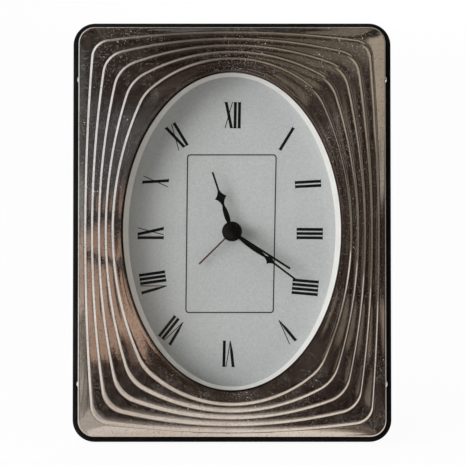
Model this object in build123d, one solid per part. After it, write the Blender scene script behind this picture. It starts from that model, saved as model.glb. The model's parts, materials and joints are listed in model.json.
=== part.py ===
from build123d import *
import math
import os

# Photo frame clock: a stamped, ridged metal frame round an oval dial, with a quartz alarm
# movement and an easel strut on the back.
# Millimetres and degrees. The pieces are drawn in the clock's own axes, X right, Y up the face
# from the hands' centre, Z towards the viewer from the back of the board, and are leaned back
# on the table at the end.

# Stance
LEAN = 12.0
STRUT_ANGLE = 34.0

# Velvet-covered back board
BOARD_W = 120.0
BOARD_H = 158.0
BOARD_T = 4.0
BOARD_R = 8.3
BOARD_EDGE_R = 1.2
BOARD_MARGIN = 2.7

# Stamped metal frame
FRAME_R = 6.0
SHEET_T = 0.45
SKIRT_H = 8.6
SKIRT_GAP = 0.2
FRAME_EDGE_R = 0.8
RIDGES = 5
RIDGE_RISE = 0.75
RISER_RUN = 1.0
RIDGE_MARGIN_W = 2.7
RIDGE_MARGIN_H = 2.0
RIDGE_STEP_W = 2.6
RIDGE_STEP_H = 2.54
RIDGE_BOW_W = 2.9
RIDGE_BOW_H = 3.8
RIDGE_BOW_STEP_W = 2.12
RIDGE_BOW_STEP_H = 2.47
RIDGE_CORNER_R = 6.8
RIDGE_CORNER_STEP_R = 2.3
INNER_BAND_W = 3.5
INNER_BAND_H = 4.95
LIP_H = 1.0

# Nails through the skirt
NAIL_HEAD_R = 1.3
NAIL_HEAD_H = 0.75
NAIL_SHANK_R = 0.5
NAIL_L = 8.0
NAIL_Y = 57.0
NAIL_FIT = 0.03

# Wooden core, crystal, ring and dial
CORE_FIT = 0.1
CRYSTAL_T = 1.5
CRYSTAL_LAP = 1.2
CRYSTAL_FIT = 0.1
RING_RIM = 0.8
RING_TOP_LAP = 0.15
RING_INSET_W = 2.1
RING_INSET_H = 1.45
RING_FACE_H = 2.55
RING_UNDERCUT = 0.8
RING_FIT = 0.15
RING_TOP_GAP = 0.1
DIAL_T = 0.6
DIAL_HOLE_FIT = 0.15

# Screws that hold the board to the core
BACK_SCREW_R = 1.1
BACK_SCREW_HEAD_R = 2.2
BACK_SCREW_HEAD_H = 1.3
BACK_SCREW_L = 9.5
BACK_SCREW_INSET = 12.0
SCREW_FIT = 0.05
SLOT_W = 0.6
SLOT_SHARE = 0.5
HEAD_BEVEL_SHARE = 0.45

# Arbor, tubes and hands, from the middle outwards
ARBOR_R = 0.5
TUBE_WALL = 0.5
RUN_FIT = 0.06
PRESS_FIT = 0.02
NECK_WALL = 0.8
NECK_PROUD = 0.8
HAND_T = 0.35
HAND_GAP = 0.9
HUB_WALL = 0.9
CAP_R = 3.75
CAP_H = 1.9
CAP_WALL = 0.9
CLUTCH_FIT = 0.04

# Hands: length, place, half length and width of the pointed spade, width of the leaf near the hub
HOUR_HAND_L = 23.5
HOUR_SPADE_AT = 13.5
HOUR_SPADE_REACH = 3.1
HOUR_SPADE_W = 4.7
MINUTE_HAND_L = 29.6
MINUTE_SPADE_AT = 17.6
MINUTE_SPADE_REACH = 2.3
MINUTE_SPADE_W = 3.8
SPADE_HOLLOW_SHARE = 0.22
LEAF_W = 2.0
NEEDLE_W = 0.72
STEM_W = 0.9
SECOND_HAND_L = 25.8
SECOND_HAND_W = 0.8
ALARM_HAND_L = 17.3
ALARM_HAND_W = 0.65

# Angles of the hands, clockwise from twelve, with the clock at about twenty past eleven
HOUR_ANGLE = 341.9
MINUTE_ANGLE = 127.0
SECOND_ANGLE = 122.6
ALARM_ANGLE = 225.5

# Quartz alarm movement
MOVEMENT_H = 56.0
MOVEMENT_R = 3.0
CASE_WALL = 1.4
COVER_T = 1.4
WINDOW_FIT = 0.4
EAR_W = 9.0
EAR_H = 10.0
EAR_T = 1.6
EAR_SCREW_R = 0.9
EAR_SCREW_HEAD_R = 2.0
EAR_SCREW_HEAD_H = 1.1
EAR_SCREW_BITE = 3.0
COVER_SCREW_R = 0.85
COVER_SCREW_HEAD_R = 1.7
COVER_SCREW_HEAD_H = 0.8
COVER_SCREW_BITE = 6.0
COVER_BOSS_R = 2.3
BOSS_SINK = 0.5
BATTERY_R = 7.1
BATTERY_L = 50.5
BATTERY_NUB_R = 2.7
BATTERY_NUB_H = 1.3
BATTERY_FIT = 0.35
BATTERY_WALL = 1.0
CONTACT_T = 0.5
CONTACT_W = 9.0
CONTACT_H = 8.0
SPRING_ROOM = 2.2

# Gear train: modules, teeth and layers
GEAR_T = 1.2
LAYER_GAP = 0.4
FRONT_LAYERS = 3
REAR_LAYERS = 4
PLATE_T = 0.8
END_ROOM = 0.9
MODULE = 0.4
ROTOR_MODULE = 0.33
ROTOR_TEETH = 6
INTERMEDIATE_TEETH = 36
INTERMEDIATE_LEAVES = 6
SECOND_TEETH = 30
SECOND_LEAVES = 6
THIRD_TEETH = 45
THIRD_LEAVES = 6
CENTRE_TEETH = 48
CANNON_LEAVES = 8
MINUTE_TEETH = 24
MINUTE_LEAVES = 6
HOUR_TEETH = 24
TIME_SET_LEAVES = 8
ALARM_TEETH = 24
ALARM_SET_TEETH = 30
THIRD_ANGLE = 120.0
INTERMEDIATE_ANGLE = 45.0
ROTOR_ANGLE = 30.0
MINUTE_AXIS_ANGLE = -35.0
TIME_SET_ANGLE = -10.0
ALARM_SET_ANGLE = 190.0
STUD_R = 0.4
STAFF_R = 0.45
BOSS_R = 1.2
PILLAR_R = 1.3
PLATE_EDGE = 3.0
PLATE_RIM = 1.0
SHAFT_R = 1.0

# Knobs and switch on the back of the movement
KNOB_R = 4.5
KNOB_H = 3.6
KNOB_GAP = 0.4
KNOB_FLUTES = 10
KNOB_FLUTE_R = 0.8
KNOB_FLUTE_OUT = 0.27
KNOB_EDGE_R = 0.45
KNOB_COLLAR_R = 2.2
SWITCH_W = 4.0
SWITCH_H = 5.0
SWITCH_NUB = 2.4
SWITCH_PROUD = 1.6
SWITCH_TRAVEL = 3.0
SWITCH_FIT = 0.12
SWITCH_CHAMFER = 0.3
SWITCH_X = -21.5
SWITCH_Y = 1.5

# Electric parts
PCB_W = 9.0
PCB_H = 13.5
PCB_T = 1.0
PCB_STAND = 2.1
PCB_POST_R = 0.7
QUARTZ_R = 1.0
QUARTZ_L = 6.0
BUZZER_R = 8.0
BUZZER_H = 3.5
BUZZER_EDGE_R = 0.45
BUZZER_X = -15.5
BUZZER_Y = 16.5
BUZZER_SLOTS = 5
BUZZER_SLOT_W = 1.0
BUZZER_SLOT_L = 9.0
STATOR_T = 1.0
STATOR_WALL = 1.5
STATOR_LEG_W = 3.0
STATOR_SPAN = 21.0
ROTOR_R = 2.2
ROTOR_H = 1.4
ROTOR_GAP = 0.3
COIL_RISE = 11.5
COIL_L = 13.8
COIL_R = 3.2
COIL_CORE_W = 2.4
FLANGE_R = 3.4
FLANGE_T = 0.8
LEAF_SPRING_T = 0.2
LEAF_SPRING_W = 2.0
LEAF_SPRING_L = 17.0
LEAF_SPRING_Y = 3.0
LEAF_SPRING_REACH = 3.0

# Easel strut and its butt hinge
STRUT_T = 3.0
STRUT_TOP_W = 24.0
STRUT_FOOT_W = 38.0
STRUT_CORNER_R = 3.0
HINGE_Y = -37.0
HINGE_W = 20.0
KNUCKLE_R = 1.3
KNUCKLE_GAP = 0.15
PIN_R = 0.6
LEAF_T = 0.6
LEAF_H = 7.0
LEAF_R = 1.0
HINGE_GAP = 0.1
FOLD_GAP = 0.3
STOP_H = 3.2
STOP_FIT = 0.05
HINGE_SCREW_R = 0.7
HINGE_SCREW_HEAD_R = 1.3
HINGE_SCREW_HEAD_H = 0.5
HINGE_SCREW_L = 2.6
HINGE_SCREW_PITCH = 12.0

# Sizes that follow from the driving ones
FRAME_W = BOARD_W - 2 * BOARD_MARGIN
FRAME_H = BOARD_H - 2 * BOARD_MARGIN
SKIRT_Z = BOARD_T + SKIRT_GAP
RIM_Z = SKIRT_Z + SKIRT_H
TOP_Z = RIM_Z + RIDGES * RIDGE_RISE
LIP_Z = TOP_Z - LIP_H
INNER_RIDGE_W = FRAME_W / 2 - RIDGE_MARGIN_W - (RIDGES - 1) * RIDGE_STEP_W
INNER_RIDGE_H = FRAME_H / 2 - RIDGE_MARGIN_H - (RIDGES - 1) * RIDGE_STEP_H
OPENING_A = INNER_RIDGE_W - INNER_BAND_W
OPENING_B = INNER_RIDGE_H - INNER_BAND_H
CRYSTAL_Z = LIP_Z - CRYSTAL_T
CRYSTAL_A = OPENING_A + CRYSTAL_LAP
CRYSTAL_B = OPENING_B + CRYSTAL_LAP
RING_A = CRYSTAL_A + CRYSTAL_FIT + RING_RIM
RING_B = CRYSTAL_B + CRYSTAL_FIT + RING_RIM
DIAL_Z = BOARD_T + DIAL_T

MINUTE_TUBE_IN = ARBOR_R + RUN_FIT
MINUTE_TUBE_OUT = MINUTE_TUBE_IN + TUBE_WALL
HOUR_TUBE_IN = MINUTE_TUBE_OUT + RUN_FIT
HOUR_TUBE_OUT = HOUR_TUBE_IN + TUBE_WALL
ALARM_TUBE_IN = HOUR_TUBE_OUT + RUN_FIT
ALARM_TUBE_OUT = ALARM_TUBE_IN + TUBE_WALL
NECK_IN = ALARM_TUBE_OUT + RUN_FIT
NECK_OUT = NECK_IN + NECK_WALL
NECK_Z = DIAL_Z + NECK_PROUD
ALARM_HAND_Z = NECK_Z + HAND_GAP
HOUR_HAND_Z = ALARM_HAND_Z + HAND_T + HAND_GAP
MINUTE_HAND_Z = HOUR_HAND_Z + HAND_T + HAND_GAP
SECOND_HAND_Z = MINUTE_HAND_Z + HAND_T + HAND_GAP
CAP_Z = SECOND_HAND_Z + HAND_T

FLOOR_Z = BOARD_T - CASE_WALL
LAYER = GEAR_T + LAYER_GAP
PLATE_Z = FLOOR_Z - FRONT_LAYERS * LAYER - LAYER_GAP
COVER_Z = PLATE_Z - PLATE_T - REAR_LAYERS * LAYER - END_ROOM
REAR_Z = COVER_Z - COVER_T
MOVEMENT_W = BATTERY_L + CONTACT_T + SPRING_ROOM + 2 * CASE_WALL
INSIDE_W = MOVEMENT_W - 2 * CASE_WALL
INSIDE_H = MOVEMENT_H - 2 * CASE_WALL
BATTERY_Y = BATTERY_R + BATTERY_FIT - INSIDE_H / 2
BATTERY_Z = FLOOR_Z - BATTERY_FIT - BATTERY_R
BATTERY_TOP_Y = BATTERY_Y + BATTERY_R + BATTERY_FIT
BATTERY_END_X = INSIDE_W / 2 - CONTACT_T
EAR_SCREW_X = (MOVEMENT_W + EAR_W) / 2 + WINDOW_FIT
BOSS_X = INSIDE_W / 2 - COVER_BOSS_R + BOSS_SINK
BOSS_TOP_Y = INSIDE_H / 2 - COVER_BOSS_R + BOSS_SINK
BOSS_LOW_Y = BATTERY_TOP_Y + BATTERY_WALL + COVER_BOSS_R - BOSS_SINK


def centre_distance(teeth, leaves, module=MODULE):
    """Distance between the axes of a wheel and its pinion."""
    return module * (teeth + leaves) / 2


def step_from(start, distance, direction):
    """Point at a distance and direction from another point."""
    angle = math.radians(direction)
    return (start[0] + distance * math.cos(angle), start[1] + distance * math.sin(angle))


def direction_of(start, end):
    """Direction in degrees from one point to another."""
    return math.degrees(math.atan2(end[1] - start[1], end[0] - start[0]))


# Axes of the train, seen from the front, and the modules that fit the shared distances
HANDS_AXIS = (0.0, 0.0)
THIRD_DISTANCE = centre_distance(THIRD_TEETH, SECOND_LEAVES)
MINUTE_DISTANCE = centre_distance(MINUTE_TEETH, CANNON_LEAVES)
THIRD_AXIS = step_from(HANDS_AXIS, THIRD_DISTANCE, THIRD_ANGLE)
INTERMEDIATE_AXIS = step_from(
    HANDS_AXIS, centre_distance(SECOND_TEETH, INTERMEDIATE_LEAVES), INTERMEDIATE_ANGLE)
ROTOR_AXIS = step_from(
    INTERMEDIATE_AXIS, centre_distance(INTERMEDIATE_TEETH, ROTOR_TEETH, ROTOR_MODULE), ROTOR_ANGLE)
MINUTE_AXIS = step_from(HANDS_AXIS, MINUTE_DISTANCE, MINUTE_AXIS_ANGLE)
TIME_SET_AXIS = step_from(
    MINUTE_AXIS, centre_distance(MINUTE_TEETH, TIME_SET_LEAVES), TIME_SET_ANGLE)
ALARM_SET_AXIS = step_from(
    HANDS_AXIS, centre_distance(ALARM_TEETH, ALARM_SET_TEETH), ALARM_SET_ANGLE)
CENTRE_MODULE = 2 * THIRD_DISTANCE / (CENTRE_TEETH + THIRD_LEAVES)
HOUR_MODULE = 2 * MINUTE_DISTANCE / (HOUR_TEETH + MINUTE_LEAVES)

# Layers of the train, from the front floor to the rear cover
ALARM_LAYER = FLOOR_Z - LAYER
HOUR_LAYER = ALARM_LAYER - LAYER
MINUTE_LAYER = HOUR_LAYER - LAYER
CENTRE_LAYER = PLATE_Z - PLATE_T - LAYER
THIRD_LAYER = CENTRE_LAYER - LAYER
SECOND_LAYER = THIRD_LAYER - LAYER
INTERMEDIATE_LAYER = SECOND_LAYER - LAYER

# Tooth forms: addendum and dedendum in modules, tooth width at root and tip in pitches
WHEEL_TOOTH = (0.95, 1.25, 0.62, 0.18)
PINION_TOOTH = (0.75, 1.30, 0.40, 0.20)
PAIRED_TOOTH = (0.80, 1.20, 0.56, 0.20)


def mesh_phase(teeth_a, phase_a, teeth_b, direction):
    """Angle that turns gear B so that its gap faces the tooth of gear A at the given direction."""
    pitch_a = 360 / teeth_a
    pitch_b = 360 / teeth_b
    return direction + 180 - pitch_b * (0.5 - (direction - phase_a) / pitch_a)


def gear(teeth, module, tooth, low, axis=HANDS_AXIS, phase=0.0):
    """Gear of one layer's thickness with straight-flanked, flat-tipped teeth."""
    addendum, dedendum, root_share, tip_share = tooth
    pitch = 360 / teeth
    root = module * (teeth / 2 - dedendum)
    tip = module * (teeth / 2 + addendum)
    corners = []
    for count in range(teeth):
        middle = phase + count * pitch
        for radius, share in ((root, -root_share), (tip, -tip_share), (tip, tip_share), (root, root_share)):
            corners.append(step_from(axis, radius, middle + share * pitch / 2))
    return slab(make_face(Polyline(*corners, close=True)), low, low + GEAR_T)


def slab(outline, low, high):
    """Flat outline in the face plane, made solid between two depths."""
    return extrude(Pos(0, 0, low) * outline, amount=high - low)


def rod(radius, low, high, at=HANDS_AXIS):
    """Round bar along Z."""
    start = Pos(at[0], at[1], low)
    return start * Cylinder(radius, high - low, align=(Align.CENTER, Align.CENTER, Align.MIN))


def block(width, height, low, high, at=HANDS_AXIS):
    """Plain box between two depths, centred on a point of the face."""
    return slab(Pos(at[0], at[1]) * Rectangle(width, height), low, high)


def cross_rod(radius, start_x, end_x, y, z):
    """Round bar along X."""
    bar = Cylinder(radius, end_x - start_x, align=(Align.CENTER, Align.CENTER, Align.MIN))
    return Pos(start_x, y, z) * Rot(0, 90, 0) * bar


def countersunk_screw(shank_r, head_r, head_h, length):
    """Slotted countersunk screw, its head flush at depth 0 and its tip at +Z."""
    head = Cone(head_r, shank_r, head_h, align=(Align.CENTER, Align.CENTER, Align.MIN))
    return head + rod(shank_r, 0, length) - block(2 * head_r, SLOT_W, 0, SLOT_SHARE * head_h)


def countersunk_hole(shank_r, head_r, head_h, length):
    """Room for a countersunk screw, with its fit all round."""
    head = Cone(head_r + SCREW_FIT, shank_r + SCREW_FIT, head_h,
                align=(Align.CENTER, Align.CENTER, Align.MIN))
    return head + rod(shank_r + SCREW_FIT, 0, length + SCREW_FIT)


def pan_screw(shank_r, head_r, head_h, length):
    """Slotted pan-head screw, seated at depth 0, with its head at -Z."""
    head = chamfer(rod(head_r, -head_h, 0).edges().sort_by(Axis.Z)[0], HEAD_BEVEL_SHARE * head_h)
    slot_h = SLOT_SHARE * head_h
    return head + rod(shank_r, 0, length) - block(2 * head_r, SLOT_W, -head_h, slot_h - head_h)


def at_points(piece, points, depth):
    """Copies of a piece at several points of the face."""
    return [Pos(x, y, depth) * piece for x, y in points]


def group(solids):
    """Separate solids that share one node."""
    return Compound([solid for piece in solids for solid in piece.solids()])


# Metal frame: five ridges, each a contour of four flat arcs with rounded corners

# Section of a riser, from its foot to its rounded crest, in shares of its run and rise
RISER_PROFILE = ((0.0, 0.0), (0.35, 0.55), (0.65, 0.88), (1.0, 1.0))


def arc_radius(half_chord, rise):
    """Radius of an arc from its half chord and its rise."""
    return (half_chord ** 2 + rise ** 2) / (2 * rise)


def circles_corner(centre_a, radius_a, centre_b, radius_b):
    """Outer crossing, right and above, of two circles."""
    apart = math.dist(centre_a, centre_b)
    along = (apart ** 2 + radius_a ** 2 - radius_b ** 2) / (2 * apart)
    across = math.sqrt(radius_a ** 2 - along ** 2)
    unit_x = (centre_b[0] - centre_a[0]) / apart
    unit_y = (centre_b[1] - centre_a[1]) / apart
    middle_x = centre_a[0] + along * unit_x
    middle_y = centre_a[1] + along * unit_y
    crossings = [(middle_x - side * across * unit_y, middle_y + side * across * unit_x) for side in (-1, 1)]
    return max(crossings, key=sum)


def ridge_outline(number, inset):
    """Contour of one ridge, counted from the outside, moved inwards from its middle line."""
    half_w = FRAME_W / 2 - RIDGE_MARGIN_W - number * RIDGE_STEP_W
    half_h = FRAME_H / 2 - RIDGE_MARGIN_H - number * RIDGE_STEP_H
    bow_w = RIDGE_BOW_W + number * RIDGE_BOW_STEP_W
    bow_h = RIDGE_BOW_H + number * RIDGE_BOW_STEP_H
    side_r = arc_radius(half_h - bow_h, bow_w)
    top_r = arc_radius(half_w - bow_w, bow_h)
    x, y = circles_corner(
        (0, half_h - top_r), top_r - inset, (half_w - side_r, 0), side_r - inset)
    top_y = half_h - inset
    side_x = half_w - inset
    outline = make_face([
        ThreePointArc((-x, y), (0, top_y), (x, y)),
        ThreePointArc((x, y), (side_x, 0), (x, -y)),
        ThreePointArc((x, -y), (0, -top_y), (-x, -y)),
        ThreePointArc((-x, -y), (-side_x, 0), (-x, y)),
    ])
    return fillet(outline.vertices(), RIDGE_CORNER_R + number * RIDGE_CORNER_STEP_R - inset)


def stamping(inset, profile):
    """Solid under the stamped sheet's outer face, or under its inner face when inset by the sheet."""
    rim = RectangleRounded(FRAME_W - 2 * inset, FRAME_H - 2 * inset, FRAME_R - inset)
    body = slab(rim, SKIRT_Z - inset, RIM_Z - inset)
    body = fillet(body.faces().sort_by(Axis.Z)[-1].edges(), FRAME_EDGE_R - inset)
    for number in range(RIDGES):
        foot_z = RIM_Z - inset + number * RIDGE_RISE
        sections = []
        for run, rise in profile:
            outline = ridge_outline(number, inset + (run - 0.5) * RISER_RUN)
            sections.append(Pos(0, 0, foot_z + rise * RIDGE_RISE) * outline)
        body += loft(sections, ruled=True)
    return body


def nail_places():
    """Middle of each nail head on the skirt, with the side it is driven from."""
    nail_z = (SKIRT_Z + RIM_Z) / 2
    return [(side, side * FRAME_W / 2, y, nail_z) for side in (-1, 1) for y in (-NAIL_Y, NAIL_Y)]


def nail_bars(radius):
    """Bars along every nail, from the skirt's face inwards."""
    bars = []
    for side, x, y, z in nail_places():
        inner = x - side * NAIL_L
        bars.append(cross_rod(radius, min(x, inner), max(x, inner), y, z))
    return bars


def metal_frame():
    shell = stamping(0, RISER_PROFILE) - stamping(SHEET_T, (RISER_PROFILE[0], RISER_PROFILE[-1]))
    shell -= slab(Ellipse(OPENING_A, OPENING_B), SKIRT_Z, TOP_Z + LIP_H)
    lip = Ellipse(OPENING_A + SHEET_T, OPENING_B + SHEET_T) - Ellipse(OPENING_A, OPENING_B)
    shell += slab(lip, LIP_Z, TOP_Z)
    for bar in nail_bars(NAIL_SHANK_R + NAIL_FIT):
        shell -= bar
    return shell


def frame_nails():
    cap_r = (NAIL_HEAD_R ** 2 + NAIL_HEAD_H ** 2) / (2 * NAIL_HEAD_H)
    dome = Pos(0, 0, NAIL_HEAD_H - cap_r) * Sphere(cap_r)
    dome &= rod(NAIL_HEAD_R, 0, NAIL_HEAD_H)
    nails = []
    for (side, x, y, z), shank in zip(nail_places(), nail_bars(NAIL_SHANK_R)):
        nails.append(shank + Pos(x, y, z) * Rot(0, side * 90, 0) * dome)
    return group(nails)


def core_frame():
    inset = SHEET_T + CORE_FIT
    outline = RectangleRounded(FRAME_W - 2 * inset, FRAME_H - 2 * inset, FRAME_R - inset)
    core = slab(outline, BOARD_T, RIM_Z - SHEET_T)
    core = fillet(core.faces().sort_by(Axis.Z)[-1].edges(), FRAME_EDGE_R - SHEET_T)
    core -= slab(Ellipse(RING_A + RING_FIT, RING_B + RING_FIT), BOARD_T, RIM_Z)
    for bar in nail_bars(NAIL_SHANK_R + NAIL_FIT):
        core -= bar
    hole = rod(BACK_SCREW_R + SCREW_FIT, 0, BACK_SCREW_L + SCREW_FIT)
    for place in at_points(hole, back_screw_points(), 0):
        core -= place
    return core


def crystal():
    return slab(Ellipse(CRYSTAL_A, CRYSTAL_B), CRYSTAL_Z, LIP_Z)


def bezel_ring():
    ring = slab(Ellipse(RING_A, RING_B), DIAL_Z, LIP_Z - RING_TOP_GAP)
    ring -= slab(Ellipse(CRYSTAL_A + CRYSTAL_FIT, CRYSTAL_B + CRYSTAL_FIT), CRYSTAL_Z, LIP_Z)
    wide = Pos(0, 0, CRYSTAL_Z) * Ellipse(OPENING_A + RING_TOP_LAP, OPENING_B + RING_TOP_LAP)
    edge_a = OPENING_A - RING_INSET_W
    edge_b = OPENING_B - RING_INSET_H
    edge = Pos(0, 0, CRYSTAL_Z - RING_FACE_H) * Ellipse(edge_a, edge_b)
    foot = Pos(0, 0, DIAL_Z) * Ellipse(edge_a + RING_UNDERCUT, edge_b + RING_UNDERCUT)
    return ring - loft([edge, wide], ruled=True) - loft([foot, edge], ruled=True)


def dial():
    plate = slab(Ellipse(RING_A, RING_B), BOARD_T, DIAL_Z)
    return plate - rod(NECK_OUT + DIAL_HOLE_FIT, BOARD_T, DIAL_Z)


def back_screw_points():
    x = BOARD_W / 2 - BACK_SCREW_INSET
    y = BOARD_H / 2 - BACK_SCREW_INSET
    return [(-x, -y), (x, -y), (-x, y), (x, y)]


def ear_screw_points():
    return [(-EAR_SCREW_X, 0.0), (EAR_SCREW_X, 0.0)]


def back_board():
    board = slab(RectangleRounded(BOARD_W, BOARD_H, BOARD_R), 0, BOARD_T)
    board = fillet(board.faces().sort_by(Axis.Z)[-1].edges(), BOARD_EDGE_R)
    window_w = MOVEMENT_W + 2 * WINDOW_FIT
    window_h = MOVEMENT_H + 2 * WINDOW_FIT
    board -= slab(RectangleRounded(window_w, window_h, MOVEMENT_R), 0, BOARD_T)
    hole = countersunk_hole(BACK_SCREW_R, BACK_SCREW_HEAD_R, BACK_SCREW_HEAD_H, BACK_SCREW_L)
    for place in at_points(hole, back_screw_points(), 0):
        board -= place
    hole = rod(EAR_SCREW_R + SCREW_FIT, 0, EAR_SCREW_BITE + SCREW_FIT)
    for place in at_points(hole, ear_screw_points(), 0):
        board -= place
    hole = rod(HINGE_SCREW_R + SCREW_FIT, 0, HINGE_SCREW_L - LEAF_T + SCREW_FIT)
    for place in at_points(hole, hinge_screw_points(1), 0):
        board -= place
    return board


def back_screws():
    screw = countersunk_screw(BACK_SCREW_R, BACK_SCREW_HEAD_R, BACK_SCREW_HEAD_H, BACK_SCREW_L)
    return group(at_points(screw, back_screw_points(), 0))


# Hands

def turned(piece, clockwise):
    """Piece that points to twelve, turned clockwise about the hands' axis."""
    return Rot(0, 0, -clockwise) * piece


def spade_hand(length, spade_at, reach, spade_w, hub_in, depth):
    """Hand with a leaf near the hub, a pointed spade with hollow sides and a needle tip."""
    hub_r = hub_in + HUB_WALL
    neck_at = spade_at - reach
    needle_at = spade_at + reach
    leaf_at = (hub_r + neck_at) / 2
    hollow = SPADE_HOLLOW_SHARE * spade_w
    spade_low = (STEM_W / 4 + hollow, spade_at - reach / 3)
    spade_high = (NEEDLE_W / 4 + hollow, spade_at + reach / 3)
    side = [
        Line((STEM_W / 2, 0), (STEM_W / 2, hub_r)),
        ThreePointArc((STEM_W / 2, hub_r), (LEAF_W / 2, leaf_at), (STEM_W / 2, neck_at)),
        ThreePointArc((STEM_W / 2, neck_at), spade_low, (spade_w / 2, spade_at)),
        ThreePointArc((spade_w / 2, spade_at), spade_high, (NEEDLE_W / 2, needle_at)),
        Line((NEEDLE_W / 2, needle_at), (NEEDLE_W / 2, length)),
        Line((NEEDLE_W / 2, length), (0, length)),
    ]
    half = make_face(side + [Line((0, length), (0, 0)), Line((0, 0), (STEM_W / 2, 0))])
    outline = half + mirror(half, about=Plane.YZ) + Circle(hub_r)
    return slab(outline - Circle(hub_in), depth, depth + HAND_T)


def plain_hand(length, width, hub_r, hub_in, depth):
    """Straight thin hand."""
    blade = Pos(0, length / 2) * Rectangle(width, length)
    return slab(blade + Circle(hub_r) - Circle(hub_in), depth, depth + HAND_T)


def alarm_hand():
    hub_in = ALARM_TUBE_OUT + PRESS_FIT
    hand = plain_hand(ALARM_HAND_L, ALARM_HAND_W, hub_in + HUB_WALL, hub_in, ALARM_HAND_Z)
    return turned(hand, ALARM_ANGLE)


def hour_hand():
    hub_in = HOUR_TUBE_OUT + PRESS_FIT
    hand = spade_hand(
        HOUR_HAND_L, HOUR_SPADE_AT, HOUR_SPADE_REACH, HOUR_SPADE_W, hub_in, HOUR_HAND_Z)
    return turned(hand, HOUR_ANGLE)


def minute_hand():
    hub_in = MINUTE_TUBE_OUT + PRESS_FIT
    hand = spade_hand(
        MINUTE_HAND_L, MINUTE_SPADE_AT, MINUTE_SPADE_REACH, MINUTE_SPADE_W, hub_in, MINUTE_HAND_Z)
    return turned(hand, MINUTE_ANGLE)


def second_hand():
    hub_in = ARBOR_R + PRESS_FIT
    hand = plain_hand(SECOND_HAND_L, SECOND_HAND_W, hub_in + HUB_WALL, hub_in, SECOND_HAND_Z)
    return turned(hand, SECOND_ANGLE)


def second_hand_cap():
    dome_r = (CAP_R ** 2 + CAP_H ** 2) / (2 * CAP_H)
    dome = Pos(0, 0, CAP_Z + CAP_H - dome_r) * Sphere(dome_r)
    dome &= rod(CAP_R, CAP_Z, CAP_Z + CAP_H)
    return dome - rod(ARBOR_R + PRESS_FIT, CAP_Z, CAP_Z + CAP_H - CAP_WALL)


# Movement case

def pillar_points():
    """Pillars of the front case that carry the train plate."""
    low_y = BATTERY_TOP_Y + BATTERY_WALL + PILLAR_R - BOSS_SINK
    left_x = THIRD_AXIS[0] - 2 * PLATE_EDGE - PILLAR_R
    right_x = ROTOR_AXIS[0] + PLATE_EDGE
    top_y = THIRD_AXIS[1] + PLATE_EDGE - PILLAR_R / 2
    return [(left_x, top_y), (right_x, top_y), (right_x, low_y), (-PLATE_EDGE / 2, low_y)]


def plate_outline():
    """Train plate: a rectangle round the pillars."""
    points = pillar_points()
    low_x = min(ALARM_SET_AXIS[0], points[0][0]) - PILLAR_R - PLATE_RIM
    high_x = points[1][0] + PILLAR_R + PLATE_RIM
    low_y = BATTERY_TOP_Y + BATTERY_WALL
    high_y = points[0][1] + PILLAR_R + PLATE_RIM
    return Pos((low_x + high_x) / 2, (low_y + high_y) / 2) * RectangleRounded(
        high_x - low_x, high_y - low_y, PILLAR_R)


def boss_points():
    """Bosses that take the cover screws."""
    return [(-BOSS_X, BOSS_TOP_Y), (BOSS_X, BOSS_TOP_Y), (-BOSS_X, BOSS_LOW_Y), (BOSS_X, BOSS_LOW_Y)]


def spring_post():
    """Point where the alarm contact spring is held."""
    return (-LEAF_SPRING_REACH - LEAF_SPRING_L + LEAF_SPRING_W / 2, LEAF_SPRING_Y)


def movement_front_case():
    outline = RectangleRounded(MOVEMENT_W, MOVEMENT_H, MOVEMENT_R)
    case = slab(outline, COVER_Z, BOARD_T)
    case -= slab(RectangleRounded(INSIDE_W, INSIDE_H, MOVEMENT_R - CASE_WALL), COVER_Z, FLOOR_Z)
    wall_y = BATTERY_TOP_Y + BATTERY_WALL / 2
    case += block(INSIDE_W, BATTERY_WALL, COVER_Z, FLOOR_Z, (0, wall_y))
    for place in at_points(rod(PILLAR_R, PLATE_Z, FLOOR_Z), pillar_points(), 0):
        case += place
    for place in at_points(rod(COVER_BOSS_R, COVER_Z, FLOOR_Z), boss_points(), 0):
        case += place
    case += rod(STUD_R, MINUTE_LAYER - LAYER_GAP / 2, FLOOR_Z, MINUTE_AXIS)
    case += rod(LEAF_SPRING_W / 2, HOUR_LAYER - LAYER_GAP / 4, FLOOR_Z, spring_post())
    case += rod(NECK_OUT, BOARD_T, NECK_Z)
    case -= rod(NECK_IN, FLOOR_Z, NECK_Z)
    for x, y in ear_screw_points():
        inner_x = math.copysign(MOVEMENT_W / 2, x)
        outer_x = x + math.copysign(EAR_W / 2, x)
        ear = block(abs(outer_x - inner_x), EAR_H, -EAR_T, 0, ((inner_x + outer_x) / 2, y))
        case += ear - rod(EAR_SCREW_R + SCREW_FIT, -EAR_T, 0, (x, y))
    hole = rod(COVER_SCREW_R + SCREW_FIT, COVER_Z, COVER_Z + COVER_SCREW_BITE + SCREW_FIT)
    for place in at_points(hole, boss_points(), 0):
        case -= place
    return case


def pcb_posts():
    x = PCB_W / 2 - PCB_POST_R
    y = PCB_H / 2 - PCB_POST_R
    return [(SWITCH_X + sx * x, SWITCH_Y + sy * y) for sx in (-1, 1) for sy in (-1, 1)]


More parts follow.
